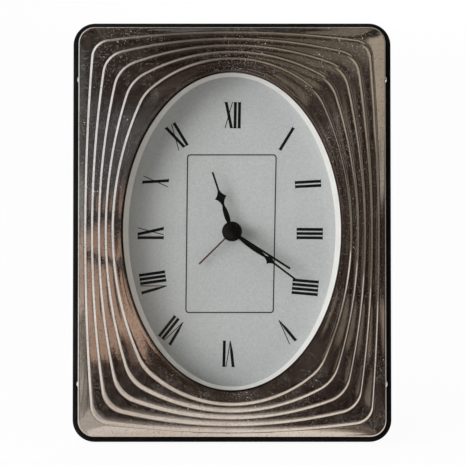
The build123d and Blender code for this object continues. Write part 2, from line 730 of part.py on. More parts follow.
def movement_rear_cover():
    cover = slab(RectangleRounded(MOVEMENT_W, MOVEMENT_H, MOVEMENT_R), REAR_Z, COVER_Z)
    window_y = (BATTERY_TOP_Y - INSIDE_H / 2) / 2
    window_h = BATTERY_TOP_Y + INSIDE_H / 2
    cover -= block(INSIDE_W, window_h, REAR_Z, COVER_Z, (0, window_y))
    for axis in (TIME_SET_AXIS, ALARM_SET_AXIS):
        cover -= rod(SHAFT_R + RUN_FIT, REAR_Z, COVER_Z, axis)
    slot_h = SWITCH_NUB + SWITCH_TRAVEL + 2 * SWITCH_FIT
    slot_y = SWITCH_Y + SWITCH_TRAVEL / 2
    cover -= block(SWITCH_NUB + 2 * SWITCH_FIT, slot_h, REAR_Z, COVER_Z, (SWITCH_X, slot_y))
    for count in range(BUZZER_SLOTS):
        slot_x = BUZZER_X + (count - (BUZZER_SLOTS - 1) / 2) * 2 * BUZZER_SLOT_W
        sound_slot = Pos(slot_x, BUZZER_Y) * SlotOverall(BUZZER_SLOT_L, BUZZER_SLOT_W, rotation=90)
        cover -= slab(sound_slot, REAR_Z, COVER_Z)
    for axis, radius in ((HANDS_AXIS, ARBOR_R), (THIRD_AXIS, STAFF_R), (ROTOR_AXIS, STAFF_R)):
        boss_z = INTERMEDIATE_LAYER - LAYER_GAP / 2
        cover += rod(BOSS_R, COVER_Z, boss_z, axis)
        cover -= rod(radius + RUN_FIT, COVER_Z, boss_z, axis)
    cover += rod(BOSS_R, COVER_Z, INTERMEDIATE_LAYER - LAYER_GAP / 4, INTERMEDIATE_AXIS)
    cover += rod(STUD_R, COVER_Z, SECOND_LAYER + GEAR_T + LAYER_GAP / 2, INTERMEDIATE_AXIS)
    for place in at_points(rod(PCB_POST_R, COVER_Z, COVER_Z + PCB_STAND), pcb_posts(), 0):
        cover += place
    for place in at_points(rod(COVER_SCREW_R + SCREW_FIT, REAR_Z, COVER_Z), boss_points(), 0):
        cover -= place
    recess = rod(COVER_SCREW_HEAD_R + SCREW_FIT, REAR_Z, REAR_Z + COVER_SCREW_HEAD_H)
    for place in at_points(recess, boss_points(), 0):
        cover -= place
    return cover


def cover_screws():
    length = COVER_SCREW_BITE + COVER_T - COVER_SCREW_HEAD_H
    screw = pan_screw(COVER_SCREW_R, COVER_SCREW_HEAD_R, COVER_SCREW_HEAD_H, length)
    return group(at_points(screw, boss_points(), REAR_Z + COVER_SCREW_HEAD_H))


def movement_screws():
    screw = pan_screw(EAR_SCREW_R, EAR_SCREW_HEAD_R, EAR_SCREW_HEAD_H, EAR_T + EAR_SCREW_BITE)
    return group(at_points(screw, ear_screw_points(), -EAR_T))


def train_plate():
    plate = slab(plate_outline(), PLATE_Z - PLATE_T, PLATE_Z)
    pivots = ((HANDS_AXIS, MINUTE_TUBE_OUT), (THIRD_AXIS, STAFF_R), (ROTOR_AXIS, STAFF_R),
              (TIME_SET_AXIS, SHAFT_R), (ALARM_SET_AXIS, SHAFT_R))
    for axis, radius in pivots:
        plate -= rod(radius + RUN_FIT, PLATE_Z - PLATE_T, PLATE_Z, axis)
    return plate


# Wheels and arbors

def alarm_wheel():
    wheel = gear(ALARM_TEETH, MODULE, PAIRED_TOOTH, ALARM_LAYER)
    wheel += rod(ALARM_TUBE_OUT, ALARM_LAYER, ALARM_HAND_Z + HAND_T)
    return wheel - rod(ALARM_TUBE_IN, ALARM_LAYER, ALARM_HAND_Z + HAND_T)


def hour_wheel():
    direction = direction_of(MINUTE_AXIS, HANDS_AXIS)
    phase = mesh_phase(MINUTE_LEAVES, 0, HOUR_TEETH, direction)
    wheel = gear(HOUR_TEETH, HOUR_MODULE, WHEEL_TOOTH, HOUR_LAYER, HANDS_AXIS, phase)
    wheel += rod(HOUR_TUBE_OUT, HOUR_LAYER, HOUR_HAND_Z + HAND_T)
    return wheel - rod(HOUR_TUBE_IN, HOUR_LAYER, HOUR_HAND_Z + HAND_T)


def minute_arbor():
    arbor = gear(CANNON_LEAVES, MODULE, PINION_TOOTH, MINUTE_LAYER)
    low = CENTRE_LAYER - LAYER_GAP / 2
    arbor += rod(MINUTE_TUBE_OUT, low, MINUTE_HAND_Z + HAND_T)
    return arbor - rod(MINUTE_TUBE_IN, low, MINUTE_HAND_Z + HAND_T)


def minute_phase():
    return mesh_phase(CANNON_LEAVES, 0, MINUTE_TEETH, MINUTE_AXIS_ANGLE)


def minute_wheel():
    wheel = gear(MINUTE_TEETH, MODULE, WHEEL_TOOTH, MINUTE_LAYER, MINUTE_AXIS, minute_phase())
    pinion = gear(MINUTE_LEAVES, HOUR_MODULE, PINION_TOOTH, HOUR_LAYER, MINUTE_AXIS)
    neck = rod(HOUR_MODULE * (MINUTE_LEAVES / 2 - PINION_TOOTH[1]), MINUTE_LAYER, HOUR_LAYER, MINUTE_AXIS)
    bore = rod(STUD_R + RUN_FIT, MINUTE_LAYER, HOUR_LAYER + GEAR_T, MINUTE_AXIS)
    return wheel + pinion + neck - bore


def centre_wheel():
    direction = direction_of(THIRD_AXIS, HANDS_AXIS)
    phase = mesh_phase(THIRD_LEAVES, 0, CENTRE_TEETH, direction)
    wheel = gear(CENTRE_TEETH, CENTRE_MODULE, WHEEL_TOOTH, CENTRE_LAYER, HANDS_AXIS, phase)
    return wheel - rod(MINUTE_TUBE_OUT + CLUTCH_FIT, CENTRE_LAYER, CENTRE_LAYER + GEAR_T)


def third_wheel():
    phase = mesh_phase(SECOND_LEAVES, 0, THIRD_TEETH, THIRD_ANGLE)
    wheel = gear(THIRD_TEETH, MODULE, WHEEL_TOOTH, THIRD_LAYER, THIRD_AXIS, phase)
    wheel += gear(THIRD_LEAVES, CENTRE_MODULE, PINION_TOOTH, CENTRE_LAYER, THIRD_AXIS)
    return wheel + rod(STAFF_R, COVER_Z + RUN_FIT, PLATE_Z, THIRD_AXIS)


def second_wheel():
    wheel = gear(SECOND_TEETH, MODULE, WHEEL_TOOTH, SECOND_LAYER)
    wheel += gear(SECOND_LEAVES, MODULE, PINION_TOOTH, THIRD_LAYER)
    return wheel + rod(ARBOR_R, COVER_Z + RUN_FIT, CAP_Z + (CAP_H - CAP_WALL) / 2)


def intermediate_wheel():
    pinion_phase = mesh_phase(SECOND_TEETH, 0, INTERMEDIATE_LEAVES, INTERMEDIATE_ANGLE)
    wheel = gear(INTERMEDIATE_TEETH, ROTOR_MODULE, WHEEL_TOOTH, INTERMEDIATE_LAYER, INTERMEDIATE_AXIS)
    wheel += gear(
        INTERMEDIATE_LEAVES, MODULE, PINION_TOOTH, SECOND_LAYER, INTERMEDIATE_AXIS, pinion_phase)
    root_r = MODULE * (INTERMEDIATE_LEAVES / 2 - PINION_TOOTH[1])
    wheel += rod(root_r, INTERMEDIATE_LAYER, SECOND_LAYER, INTERMEDIATE_AXIS)
    bore = rod(STUD_R + RUN_FIT, INTERMEDIATE_LAYER, SECOND_LAYER + GEAR_T, INTERMEDIATE_AXIS)
    return wheel - bore


def rotor():
    phase = mesh_phase(INTERMEDIATE_TEETH, 0, ROTOR_TEETH, ROTOR_ANGLE)
    pinion = gear(ROTOR_TEETH, ROTOR_MODULE, PINION_TOOTH, INTERMEDIATE_LAYER, ROTOR_AXIS, phase)
    magnet_z = PLATE_Z - PLATE_T - LAYER_GAP / 2
    magnet = rod(ROTOR_R, magnet_z - ROTOR_H, magnet_z, ROTOR_AXIS)
    return pinion + magnet + rod(STAFF_R, COVER_Z + RUN_FIT, PLATE_Z, ROTOR_AXIS)


# Knobs and switch

def fluted_knob(axis):
    """Round knob with hollow flutes round its rim and a collar against the cover."""
    high = REAR_Z - KNOB_GAP
    low = high - KNOB_H
    knob = fillet(rod(KNOB_R, low, high, axis).edges().sort_by(Axis.Z)[0], KNOB_EDGE_R)
    for count in range(KNOB_FLUTES):
        place = step_from(axis, KNOB_R + KNOB_FLUTE_OUT, count * 360 / KNOB_FLUTES)
        knob -= rod(KNOB_FLUTE_R, low, high, place)
    return knob + rod(KNOB_COLLAR_R, high, REAR_Z - RUN_FIT, axis)


def time_set_knob():
    direction = direction_of(MINUTE_AXIS, TIME_SET_AXIS)
    phase = mesh_phase(MINUTE_TEETH, minute_phase(), TIME_SET_LEAVES, direction)
    pinion = gear(TIME_SET_LEAVES, MODULE, PINION_TOOTH, MINUTE_LAYER, TIME_SET_AXIS, phase)
    shaft = rod(SHAFT_R, REAR_Z - KNOB_GAP, MINUTE_LAYER + GEAR_T, TIME_SET_AXIS)
    return fluted_knob(TIME_SET_AXIS) + shaft + pinion


def alarm_set_knob():
    phase = mesh_phase(ALARM_TEETH, 0, ALARM_SET_TEETH, ALARM_SET_ANGLE)
    wheel = gear(ALARM_SET_TEETH, MODULE, PAIRED_TOOTH, ALARM_LAYER, ALARM_SET_AXIS, phase)
    shaft = rod(SHAFT_R, REAR_Z - KNOB_GAP, ALARM_LAYER, ALARM_SET_AXIS)
    return fluted_knob(ALARM_SET_AXIS) + shaft + wheel


def alarm_switch():
    at = (SWITCH_X, SWITCH_Y)
    slider = block(SWITCH_W, SWITCH_H, COVER_Z + SWITCH_FIT, COVER_Z + PCB_STAND - SWITCH_FIT, at)
    nub = block(SWITCH_NUB, SWITCH_NUB, REAR_Z - SWITCH_PROUD, COVER_Z + SWITCH_FIT, at)
    return slider + chamfer(nub.faces().sort_by(Axis.Z)[0].edges(), SWITCH_CHAMFER)


# Battery and electric parts

def battery():
    low = BATTERY_END_X - BATTERY_L
    cell = cross_rod(BATTERY_R, low, BATTERY_END_X - BATTERY_NUB_H, BATTERY_Y, BATTERY_Z)
    nub = cross_rod(BATTERY_NUB_R, low, BATTERY_END_X, BATTERY_Y, BATTERY_Z)
    return cell + nub


def battery_positive_contact():
    plate = Box(CONTACT_T, CONTACT_W, CONTACT_H, align=(Align.MIN, Align.CENTER, Align.CENTER))
    return Pos(BATTERY_END_X, BATTERY_Y, BATTERY_Z) * plate


def battery_negative_contact():
    wall_x = -INSIDE_W / 2
    tip_x = BATTERY_END_X - BATTERY_L
    half = CONTACT_W / 2
    profile = Polyline(
        (wall_x, -half), (wall_x + CONTACT_T, -half), (tip_x, 0), (tip_x, CONTACT_T),
        (tip_x - CONTACT_T, CONTACT_T), (wall_x + CONTACT_T, CONTACT_T - half), (wall_x + CONTACT_T, half),
        (wall_x, half), close=True)
    strip = extrude(make_face(profile), amount=CONTACT_H)
    return Pos(0, BATTERY_Y, BATTERY_Z - CONTACT_H / 2) * strip


def circuit_board():
    low = COVER_Z + PCB_STAND
    return block(PCB_W, PCB_H, low, low + PCB_T, (SWITCH_X, SWITCH_Y))


def quartz_can():
    z = COVER_Z + PCB_STAND + PCB_T + QUARTZ_R
    can = Cylinder(QUARTZ_R, QUARTZ_L)
    return Pos(SWITCH_X + PCB_W / 4, SWITCH_Y, z) * Rot(90, 0, 0) * can


def buzzer():
    can = rod(BUZZER_R, COVER_Z, COVER_Z + BUZZER_H, (BUZZER_X, BUZZER_Y))
    return fillet(can.edges().sort_by(Axis.Z)[-1], BUZZER_EDGE_R)


def coil_place():
    """Middle of the coil: above the rotor, on the back of the stator's legs."""
    z = PLATE_Z - PLATE_T - STATOR_T - STATOR_T / 2
    return (ROTOR_AXIS[0], ROTOR_AXIS[1] + COIL_RISE, z)


def stator():
    x, y = ROTOR_AXIS
    ring_r = ROTOR_R + ROTOR_GAP + STATOR_WALL
    bar_y = y + ring_r - STATOR_WALL + STATOR_LEG_W / 2
    leg_top = coil_place()[1] + COIL_CORE_W / 2
    leg_h = leg_top - bar_y + STATOR_LEG_W / 2
    leg_x = (STATOR_SPAN - STATOR_LEG_W) / 2
    outline = Pos(x, y) * Circle(ring_r) + Pos(x, bar_y) * Rectangle(STATOR_SPAN, STATOR_LEG_W)
    for side in (-1, 1):
        outline += Pos(x + side * leg_x, leg_top - leg_h / 2) * Rectangle(STATOR_LEG_W, leg_h)
    outline -= Pos(x, y) * Circle(ROTOR_R + ROTOR_GAP)
    return slab(outline, PLATE_Z - PLATE_T - STATOR_T, PLATE_Z - PLATE_T)


def coil_core():
    return Pos(*coil_place()) * Box(STATOR_SPAN, COIL_CORE_W, STATOR_T)


def coil_bobbin():
    x, y, z = coil_place()
    inner_r = (COIL_CORE_W + STATOR_T) / 2 + PRESS_FIT
    spool = cross_rod(inner_r, x - COIL_L / 2, x + COIL_L / 2, y, z)
    for start in (x - COIL_L / 2, x + COIL_L / 2 - FLANGE_T):
        spool += cross_rod(FLANGE_R, start, start + FLANGE_T, y, z)
    return spool - Pos(x, y, z) * Box(COIL_L, COIL_CORE_W + 2 * PRESS_FIT, STATOR_T + 2 * PRESS_FIT)


def coil_winding():
    x, y, z = coil_place()
    half = COIL_L / 2 - FLANGE_T - PRESS_FIT
    inner_r = (COIL_CORE_W + STATOR_T) / 2 + 2 * PRESS_FIT
    return cross_rod(COIL_R, x - half, x + half, y, z) - cross_rod(inner_r, x - half, x + half, y, z)


def alarm_contact_spring():
    high = HOUR_LAYER - LAYER_GAP / 4
    middle = -LEAF_SPRING_REACH - LEAF_SPRING_L / 2
    strip = Pos(middle, LEAF_SPRING_Y) * SlotOverall(LEAF_SPRING_L, LEAF_SPRING_W)
    return slab(strip, high - LEAF_SPRING_T, high)


# Easel strut, drawn folded flat and then swung open about the hinge pin

HINGE_Z = -KNUCKLE_R - HINGE_GAP
KNUCKLE_L = HINGE_W / 3


def swung(piece):
    """Strut piece, drawn folded, swung to its open place."""
    return Pos(0, HINGE_Y, HINGE_Z) * Rot(STRUT_ANGLE, 0, 0) * Pos(0, -HINGE_Y, -HINGE_Z) * piece


def hinge_screw_points(side):
    """Screws of the upper leaf (side 1) or of the lower, folded leaf (side -1)."""
    y = HINGE_Y + side * (KNUCKLE_R + LEAF_H / 2)
    return [(-HINGE_SCREW_PITCH / 2, y), (HINGE_SCREW_PITCH / 2, y)]


def hinge_leaf(side, depth):
    """Flat leaf from the pin's height, up (side 1) or down (side -1), with rounded outer corners."""
    height = KNUCKLE_R + LEAF_H
    flat = slab(Pos(0, HINGE_Y + side * height / 2) * Rectangle(HINGE_W, height), depth - LEAF_T, depth)
    corners = flat.edges().filter_by(Axis.Z).sort_by(Axis.Y)
    return fillet(corners[2:] if side > 0 else corners[:2], LEAF_R)


def knuckle_spans(outer):
    """Stretches of the pin that carry the outer knuckles or the middle one."""
    if outer:
        return [(-HINGE_W / 2, -KNUCKLE_L / 2 - KNUCKLE_GAP), (KNUCKLE_L / 2 + KNUCKLE_GAP, HINGE_W / 2)]
    return [(-KNUCKLE_L / 2, KNUCKLE_L / 2)]


def with_knuckles(leaf, outer, bore):
    """Leaf cut back from the other leaf's knuckles and rolled round the pin on its own spans."""
    room_r = KNUCKLE_R + KNUCKLE_GAP
    for start, end in knuckle_spans(not outer):
        reach = (start - KNUCKLE_GAP, end + KNUCKLE_GAP)
        leaf -= cross_rod(room_r, reach[0], reach[1], HINGE_Y, HINGE_Z)
        middle = (sum(reach) / 2, HINGE_Y)
        leaf -= block(reach[1] - reach[0], 2 * room_r, -FOLD_GAP - LEAF_T, 0, middle)
    for start, end in knuckle_spans(outer):
        leaf += cross_rod(KNUCKLE_R, start, end, HINGE_Y, HINGE_Z)
    return leaf - cross_rod(bore, -HINGE_W / 2, HINGE_W / 2, HINGE_Y, HINGE_Z)


def hinge_board_leaf():
    leaf = with_knuckles(hinge_leaf(1, 0), True, PIN_R + PRESS_FIT)
    hole = countersunk_hole(HINGE_SCREW_R, HINGE_SCREW_HEAD_R, HINGE_SCREW_HEAD_H, HINGE_SCREW_L)
    for place in at_points(hole, hinge_screw_points(1), -LEAF_T):
        leaf -= place
    return leaf


def hinge_strut_leaf():
    leaf = with_knuckles(hinge_leaf(-1, -FOLD_GAP), False, PIN_R + RUN_FIT)
    hole = Rot(180, 0, 0) * countersunk_hole(
        HINGE_SCREW_R, HINGE_SCREW_HEAD_R, HINGE_SCREW_HEAD_H, HINGE_SCREW_L)
    for place in at_points(hole, hinge_screw_points(-1), -FOLD_GAP):
        leaf -= place
    stop_low = -LEAF_T - STOP_FIT - LEAF_T
    stop = block(KNUCKLE_L, STOP_H, stop_low, stop_low + LEAF_T, (0, HINGE_Y + STOP_H / 2))
    stop -= cross_rod(PIN_R + RUN_FIT, -HINGE_W / 2, HINGE_W / 2, HINGE_Y, HINGE_Z)
    return swung(leaf) + stop


def hinge_pin():
    return cross_rod(PIN_R, -HINGE_W / 2, HINGE_W / 2, HINGE_Y, HINGE_Z)


def hinge_board_screws():
    screw = countersunk_screw(HINGE_SCREW_R, HINGE_SCREW_HEAD_R, HINGE_SCREW_HEAD_H, HINGE_SCREW_L)
    return group(at_points(screw, hinge_screw_points(1), -LEAF_T))


def hinge_strut_screws():
    screw = Rot(180, 0, 0) * countersunk_screw(
        HINGE_SCREW_R, HINGE_SCREW_HEAD_R, HINGE_SCREW_HEAD_H, HINGE_SCREW_L)
    return group([swung(place) for place in at_points(screw, hinge_screw_points(-1), -FOLD_GAP)])


def strut():
    top = HINGE_Y - KNUCKLE_R - FOLD_GAP
    foot_drop = (BOARD_H / 2 + HINGE_Y) / math.cos(math.radians(STRUT_ANGLE - LEAN))
    foot = HINGE_Y - foot_drop - STRUT_T
    right = [(STRUT_TOP_W / 2, top), (STRUT_FOOT_W / 2, foot)]
    left = [(-STRUT_FOOT_W / 2, foot), (-STRUT_TOP_W / 2, top)]
    outline = make_face(Polyline(*right, *left, close=True))
    back = -FOLD_GAP - LEAF_T - STRUT_T
    plate = slab(outline, back, back + STRUT_T)
    plate = fillet(plate.edges().filter_by(Axis.Z).sort_by(Axis.Y)[2:], STRUT_CORNER_R)
    hole = Rot(180, 0, 0) * rod(HINGE_SCREW_R + SCREW_FIT, 0, HINGE_SCREW_L + SCREW_FIT)
    for place in at_points(hole, hinge_screw_points(-1), -FOLD_GAP):
        plate -= place
    table = Pos(0, 0, -BOARD_H / 2) * Box(2 * BOARD_W, 2 * BOARD_H, BOARD_H)
    return swung(plate) - LEANED.inverse() * table


# Stance on the table: the board's lower back edge and the strut's foot rest at height 0

LEAN_SIN = math.sin(math.radians(LEAN))
LEAN_COS = math.cos(math.radians(LEAN))
LEANED = Plane(
    origin=(0, BOARD_H / 2 * LEAN_SIN, BOARD_H / 2 * LEAN_COS),
    x_dir=(1, 0, 0), z_dir=(0, -LEAN_COS, LEAN_SIN)).location

PIECES = (
    back_board, core_frame, metal_frame, frame_nails, crystal, bezel_ring, dial, back_screws,
    alarm_hand, hour_hand, minute_hand, second_hand, second_hand_cap,
    strut, hinge_board_leaf, hinge_strut_leaf, hinge_pin, hinge_board_screws, hinge_strut_screws,
    movement_front_case, movement_rear_cover, cover_screws, movement_screws, train_plate,
    alarm_wheel, hour_wheel, minute_arbor, minute_wheel, centre_wheel, third_wheel, second_wheel,
    intermediate_wheel, rotor, time_set_knob, alarm_set_knob, alarm_switch,
    battery, battery_positive_contact, battery_negative_contact, circuit_board, quartz_can, buzzer,
    stator, coil_core, coil_bobbin, coil_winding, alarm_contact_spring,
)

leaned = {make.__name__: LEANED * make() for make in PIECES}
extent = Compound(list(leaned.values())).bounding_box()
# The origin is the middle of the footprint, on the table.
TO_ORIGIN = Pos(-extent.center().X, -extent.center().Y, -extent.min.Z)

os.makedirs("parts", exist_ok=True)
for name, piece in leaned.items():
    export_step(TO_ORIGIN * piece, f"parts/{name}.step")
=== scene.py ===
import json
import math

import bpy
from mathutils import Matrix, Vector


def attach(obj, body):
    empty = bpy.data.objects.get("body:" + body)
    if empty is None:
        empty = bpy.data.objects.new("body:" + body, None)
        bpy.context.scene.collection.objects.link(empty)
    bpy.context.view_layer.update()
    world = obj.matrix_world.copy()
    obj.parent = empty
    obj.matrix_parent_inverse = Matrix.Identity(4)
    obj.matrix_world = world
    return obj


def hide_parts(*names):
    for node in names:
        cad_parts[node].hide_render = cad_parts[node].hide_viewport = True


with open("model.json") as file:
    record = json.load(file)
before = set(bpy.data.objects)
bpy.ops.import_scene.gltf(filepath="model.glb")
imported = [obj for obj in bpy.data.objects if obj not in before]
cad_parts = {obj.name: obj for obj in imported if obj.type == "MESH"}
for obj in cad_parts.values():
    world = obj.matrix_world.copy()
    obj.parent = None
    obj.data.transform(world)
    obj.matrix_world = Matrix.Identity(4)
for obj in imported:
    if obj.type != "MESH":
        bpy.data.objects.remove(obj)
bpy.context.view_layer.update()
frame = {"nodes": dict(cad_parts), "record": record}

MM = 0.001

# Sizes of the clock in millimetres, in its own axes: X right, Y up the face, Z towards the viewer

LEAN = math.radians(12.0)
BOARD_H = 158.0
BOARD_MOUNT_Z = 1.4
DIAL_Z = 4.6
PRINT_T = 0.02
FRAME_W = 114.6
FRAME_H = 152.6
FRAME_R = 6.0
FRAME_EDGE_R = 0.5
SHEET_T = 0.45
SKIRT_Z = 4.2
HEM_H = 0.3
RIM_Z = 12.8
BORDER_DROP = 0.42
TREAD_DROP = 0.07
OPENING_A = 40.7
OPENING_B = 59.19
LIP_Z = 15.55
TOP_Z = 16.55
LIP_R = 0.85
LIP_OVER = 0.35
LIP_DISH = 0.03
UNDERSIDE_GAP = 0.12
WAVE_H = 0.014
WAVE_SINK = 0.03
FOOT_TARNISH_AND_SHADE_W = 0.2

# Powers of the crowns of the border and the treads, and the lip's share of the waviness

BORDER_BEND = 1.3
TREAD_BEND = 2
LIP_WAVE_SHARE = 0.4

# Ridges: the margins, bows and corner of the outermost, and what each next one adds to them

RIDGES = 5
RIDGE_RISE = 0.75
RISER_RUN = 1.0
RIDGE_MARGIN_W = 2.7
RIDGE_STEP_W = 2.6
RIDGE_MARGIN_H = 2.0
RIDGE_STEP_H = 2.54
RIDGE_BOW_W = 2.9
RIDGE_BOW_STEP_W = 2.12
RIDGE_BOW_H = 3.8
RIDGE_BOW_STEP_H = 2.47
RIDGE_CORNER_R = 6.8
RIDGE_CORNER_STEP_R = 2.3

# Tarnish and painted shade of the metal, from 0 for bright to 1 for black: painted shade at the skirt's hem
# by the board, and tarnish with painted shade in the riser feet, lighter on the lit left side

HEM_PAINTED_SHADE = 0.5
HEM_TOP_PAINTED_SHADE = 0.2
FOOT_TARNISH_AND_SHADE = 1.0
FOOT_LEFT_SHADE_SHARE = 0.3

# Places on the clock

UP_FACE = Vector((0, math.sin(LEAN), math.cos(LEAN)))
TO_VIEWER = Vector((0, -math.cos(LEAN), math.sin(LEAN)))
mounts = {mount["name"]: mount for mount in frame["record"]["mounts"]}
CENTRE = Vector(mounts["board_bottom"]["pos_m"]) + (UP_FACE * BOARD_H / 2 - TO_VIEWER * BOARD_MOUNT_Z) * MM


def place(x, y, z):
    """Point of the clock's own axes, in the shared frame."""
    return CENTRE + (Vector((x, 0, 0)) + UP_FACE * y + TO_VIEWER * z) * MM


def mesh_object(name, verts, faces, smooth=True):
    """New mesh in the scene."""
    mesh = bpy.data.meshes.new(name)
    mesh.from_pydata(verts, [], faces)
    mesh.validate()
    for polygon in mesh.polygons:
        polygon.use_smooth = smooth
    obj = bpy.data.objects.new(name, mesh)
    bpy.context.scene.collection.objects.link(obj)
    return obj


# Contours of the stamped frame, a quarter at a time: side arc, corner, top arc

SIDE_STEPS = 40
CORNER_STEPS = 16
TOP_STEPS = 32
EDGE_STEPS = 8
TREAD_STEPS = 6
RISER_STEPS = 12
FADE_STEPS = 2
SHARP_ANGLE = math.radians(50)


def arc_points(centre, radius, start, end, steps):
    """Points of an arc without its last one, which starts the next stretch."""
    points = []
    for count in range(steps):
        angle = start + (end - start) * count / steps
        points.append((centre[0] + radius * math.cos(angle), centre[1] + radius * math.sin(angle)))
    return points


def crossing(centre_a, radius_a, centre_b, radius_b):
    """Crossing, right and above, of two circles."""
    apart = math.dist(centre_a, centre_b)
    along = (apart ** 2 + radius_a ** 2 - radius_b ** 2) / (2 * apart)
    across = math.sqrt(radius_a ** 2 - along ** 2)
    ux = (centre_b[0] - centre_a[0]) / apart
    uy = (centre_b[1] - centre_a[1]) / apart
    middle = (centre_a[0] + along * ux, centre_a[1] + along * uy)
    found = [(middle[0] - side * across * uy, middle[1] + side * across * ux) for side in (-1, 1)]
    return max(found, key=sum)


def ridge_parts(number):
    """Centres, radii and angles of one ridge's arcs."""
    half_w = FRAME_W / 2 - RIDGE_MARGIN_W - number * RIDGE_STEP_W
    half_h = FRAME_H / 2 - RIDGE_MARGIN_H - number * RIDGE_STEP_H
    bow_w = RIDGE_BOW_W + number * RIDGE_BOW_STEP_W
    bow_h = RIDGE_BOW_H + number * RIDGE_BOW_STEP_H
    corner_r = RIDGE_CORNER_R + number * RIDGE_CORNER_STEP_R
    side_r = ((half_h - bow_h) ** 2 + bow_w ** 2) / (2 * bow_w)
    top_r = ((half_w - bow_w) ** 2 + bow_h ** 2) / (2 * bow_h)
    side_c = (half_w - side_r, 0.0)
    top_c = (0.0, half_h - top_r)
    corner_c = crossing(top_c, top_r - corner_r, side_c, side_r - corner_r)
    side_a = math.atan2(corner_c[1] - side_c[1], corner_c[0] - side_c[0])
    top_a = math.atan2(corner_c[1] - top_c[1], corner_c[0] - top_c[0])
    return side_c, side_r, corner_c, corner_r, top_c, top_r, side_a, top_a


def ridge_quarter(number, inset):
    side_c, side_r, corner_c, corner_r, top_c, top_r, side_a, top_a = ridge_parts(number)
    points = arc_points(side_c, side_r - inset, 0, side_a, SIDE_STEPS)
    points += arc_points(corner_c, corner_r - inset, side_a, top_a, CORNER_STEPS)
    return points + arc_points(top_c, top_r - inset, top_a, math.pi / 2, TOP_STEPS)


def rim_quarter(inset):
    x = FRAME_W / 2 - inset
    y = FRAME_H / 2 - inset
    corner = (FRAME_W / 2 - FRAME_R, FRAME_H / 2 - FRAME_R)
    points = [(x, corner[1] * count / SIDE_STEPS) for count in range(SIDE_STEPS)]
    points += arc_points(corner, FRAME_R - inset, 0, math.pi / 2, CORNER_STEPS)
    return points + [(corner[0] * (1 - count / TOP_STEPS), y) for count in range(TOP_STEPS)]


def oval_quarter(outset):
    """Oval of the opening, split where the innermost ridge has its corner."""
    a = OPENING_A + outset
    b = OPENING_B + outset
    side_c, side_r, _, _, top_c, top_r, side_a, top_a = ridge_parts(RIDGES - 1)
    turns = [0]
    for centre, radius, angle in ((side_c, side_r, side_a), (top_c, top_r, top_a)):
        x = centre[0] + radius * math.cos(angle)
        y = centre[1] + radius * math.sin(angle)
        turns.append(math.atan2(y / OPENING_B, x / OPENING_A))
    turns.append(math.pi / 2)
    points = []
    for start, end, steps in zip(turns, turns[1:], (SIDE_STEPS, CORNER_STEPS, TOP_STEPS)):
        for count in range(steps):
            angle = start + (end - start) * count / steps
            points.append((a * math.cos(angle), b * math.sin(angle)))
    return points


def whole(quarter, top_y):
    """Closed contour from its quarter."""
    mirrored = [(-x, y) for x, y in reversed(quarter[1:])]
    half = quarter + [(0.0, top_y)] + mirrored
    leftmost = (-quarter[0][0], 0.0)
    lower = [(-x, -y) for x, y in half]
    return half + [leftmost] + lower[1:]


def mixed(outer, inner, share):
    """Contour part of the way from one to another."""
    return [(a[0] + (b[0] - a[0]) * share, a[1] + (b[1] - a[1]) * share) for a, b in zip(outer, inner)]


def ridge_loop(number, inset):
    top_y = FRAME_H / 2 - RIDGE_MARGIN_H - number * RIDGE_STEP_H - inset
    return whole(ridge_quarter(number, inset), top_y)


def rim_loop(inset):
    return whole(rim_quarter(inset), FRAME_H / 2 - inset)


def oval_loop(outset):
    return whole(oval_quarter(outset), OPENING_B + outset)


def riser_height(share):
    """Section of a riser from its hollow foot to its round crest."""
    return share * share * (3 - 2 * share)


def sheet_wave(x, y):
    """Slight unevenness of the hand-worked sheet, with its waves in radians per millimetre."""
    wave = math.sin(0.21 * x + 0.9) * math.sin(0.13 * y + 0.4)
    wave += 0.6 * math.sin(0.37 * x - 0.22 * y + 2.1)
    wave += 0.5 * math.sin(0.11 * x + 0.31 * y + 4.0)
    return WAVE_H * wave


def face_rows():
    """Skirt, border, treads and risers as rows of (contour, height, share of the waviness, tarnish and
    painted shade).
    """
    rows = []
    edge_z = RIM_Z - BORDER_DROP
    # Painted shade: the skirt darkens towards its hem, where it meets the board
    rows.append((rim_loop(0), SKIRT_Z, 0, HEM_PAINTED_SHADE))
    rows.append((rim_loop(0), SKIRT_Z + HEM_H, 0, HEM_TOP_PAINTED_SHADE))
    rows.append((rim_loop(0), edge_z - FRAME_EDGE_R, 0, 0))
    for count in range(1, EDGE_STEPS + 1):
        share = count / EDGE_STEPS
        angle = math.pi / 2 * count / EDGE_STEPS
        inset = FRAME_EDGE_R * (1 - math.cos(angle))
        rows.append((rim_loop(inset), edge_z - FRAME_EDGE_R * (1 - math.sin(angle)), share, 0))
    outer = rim_loop(FRAME_EDGE_R)
    drop = BORDER_DROP
    bend = BORDER_BEND
    for number in range(RIDGES):
        foot_z = RIM_Z + number * RIDGE_RISE
        foot = ridge_loop(number, -RISER_RUN / 2)
        for count in range(1, TREAD_STEPS):
            share = count / TREAD_STEPS
            rows.append((mixed(outer, foot, share), foot_z - drop * (1 - share) ** bend, 1, 0))
        rows.append((ridge_loop(number, -RISER_RUN / 2 - FOOT_TARNISH_AND_SHADE_W), foot_z, 1, 0))
        drop = TREAD_DROP if number < RIDGES - 1 else 0
        bend = TREAD_BEND
        for count in range(RISER_STEPS + 1):
            share = count / RISER_STEPS
            loop = ridge_loop(number, (share - 0.5) * RISER_RUN)
            # Black at each riser's hollow foot, fading up the riser: tarnish in the crease, and painted
            # crease shade
            tarnish_and_shade = FOOT_TARNISH_AND_SHADE * max(0.0, 1 - count / FADE_STEPS)
            rows.append((loop, foot_z + (RIDGE_RISE - drop) * riser_height(share), 1, tarnish_and_shade))
        outer = ridge_loop(number, RISER_RUN / 2)
    return rows


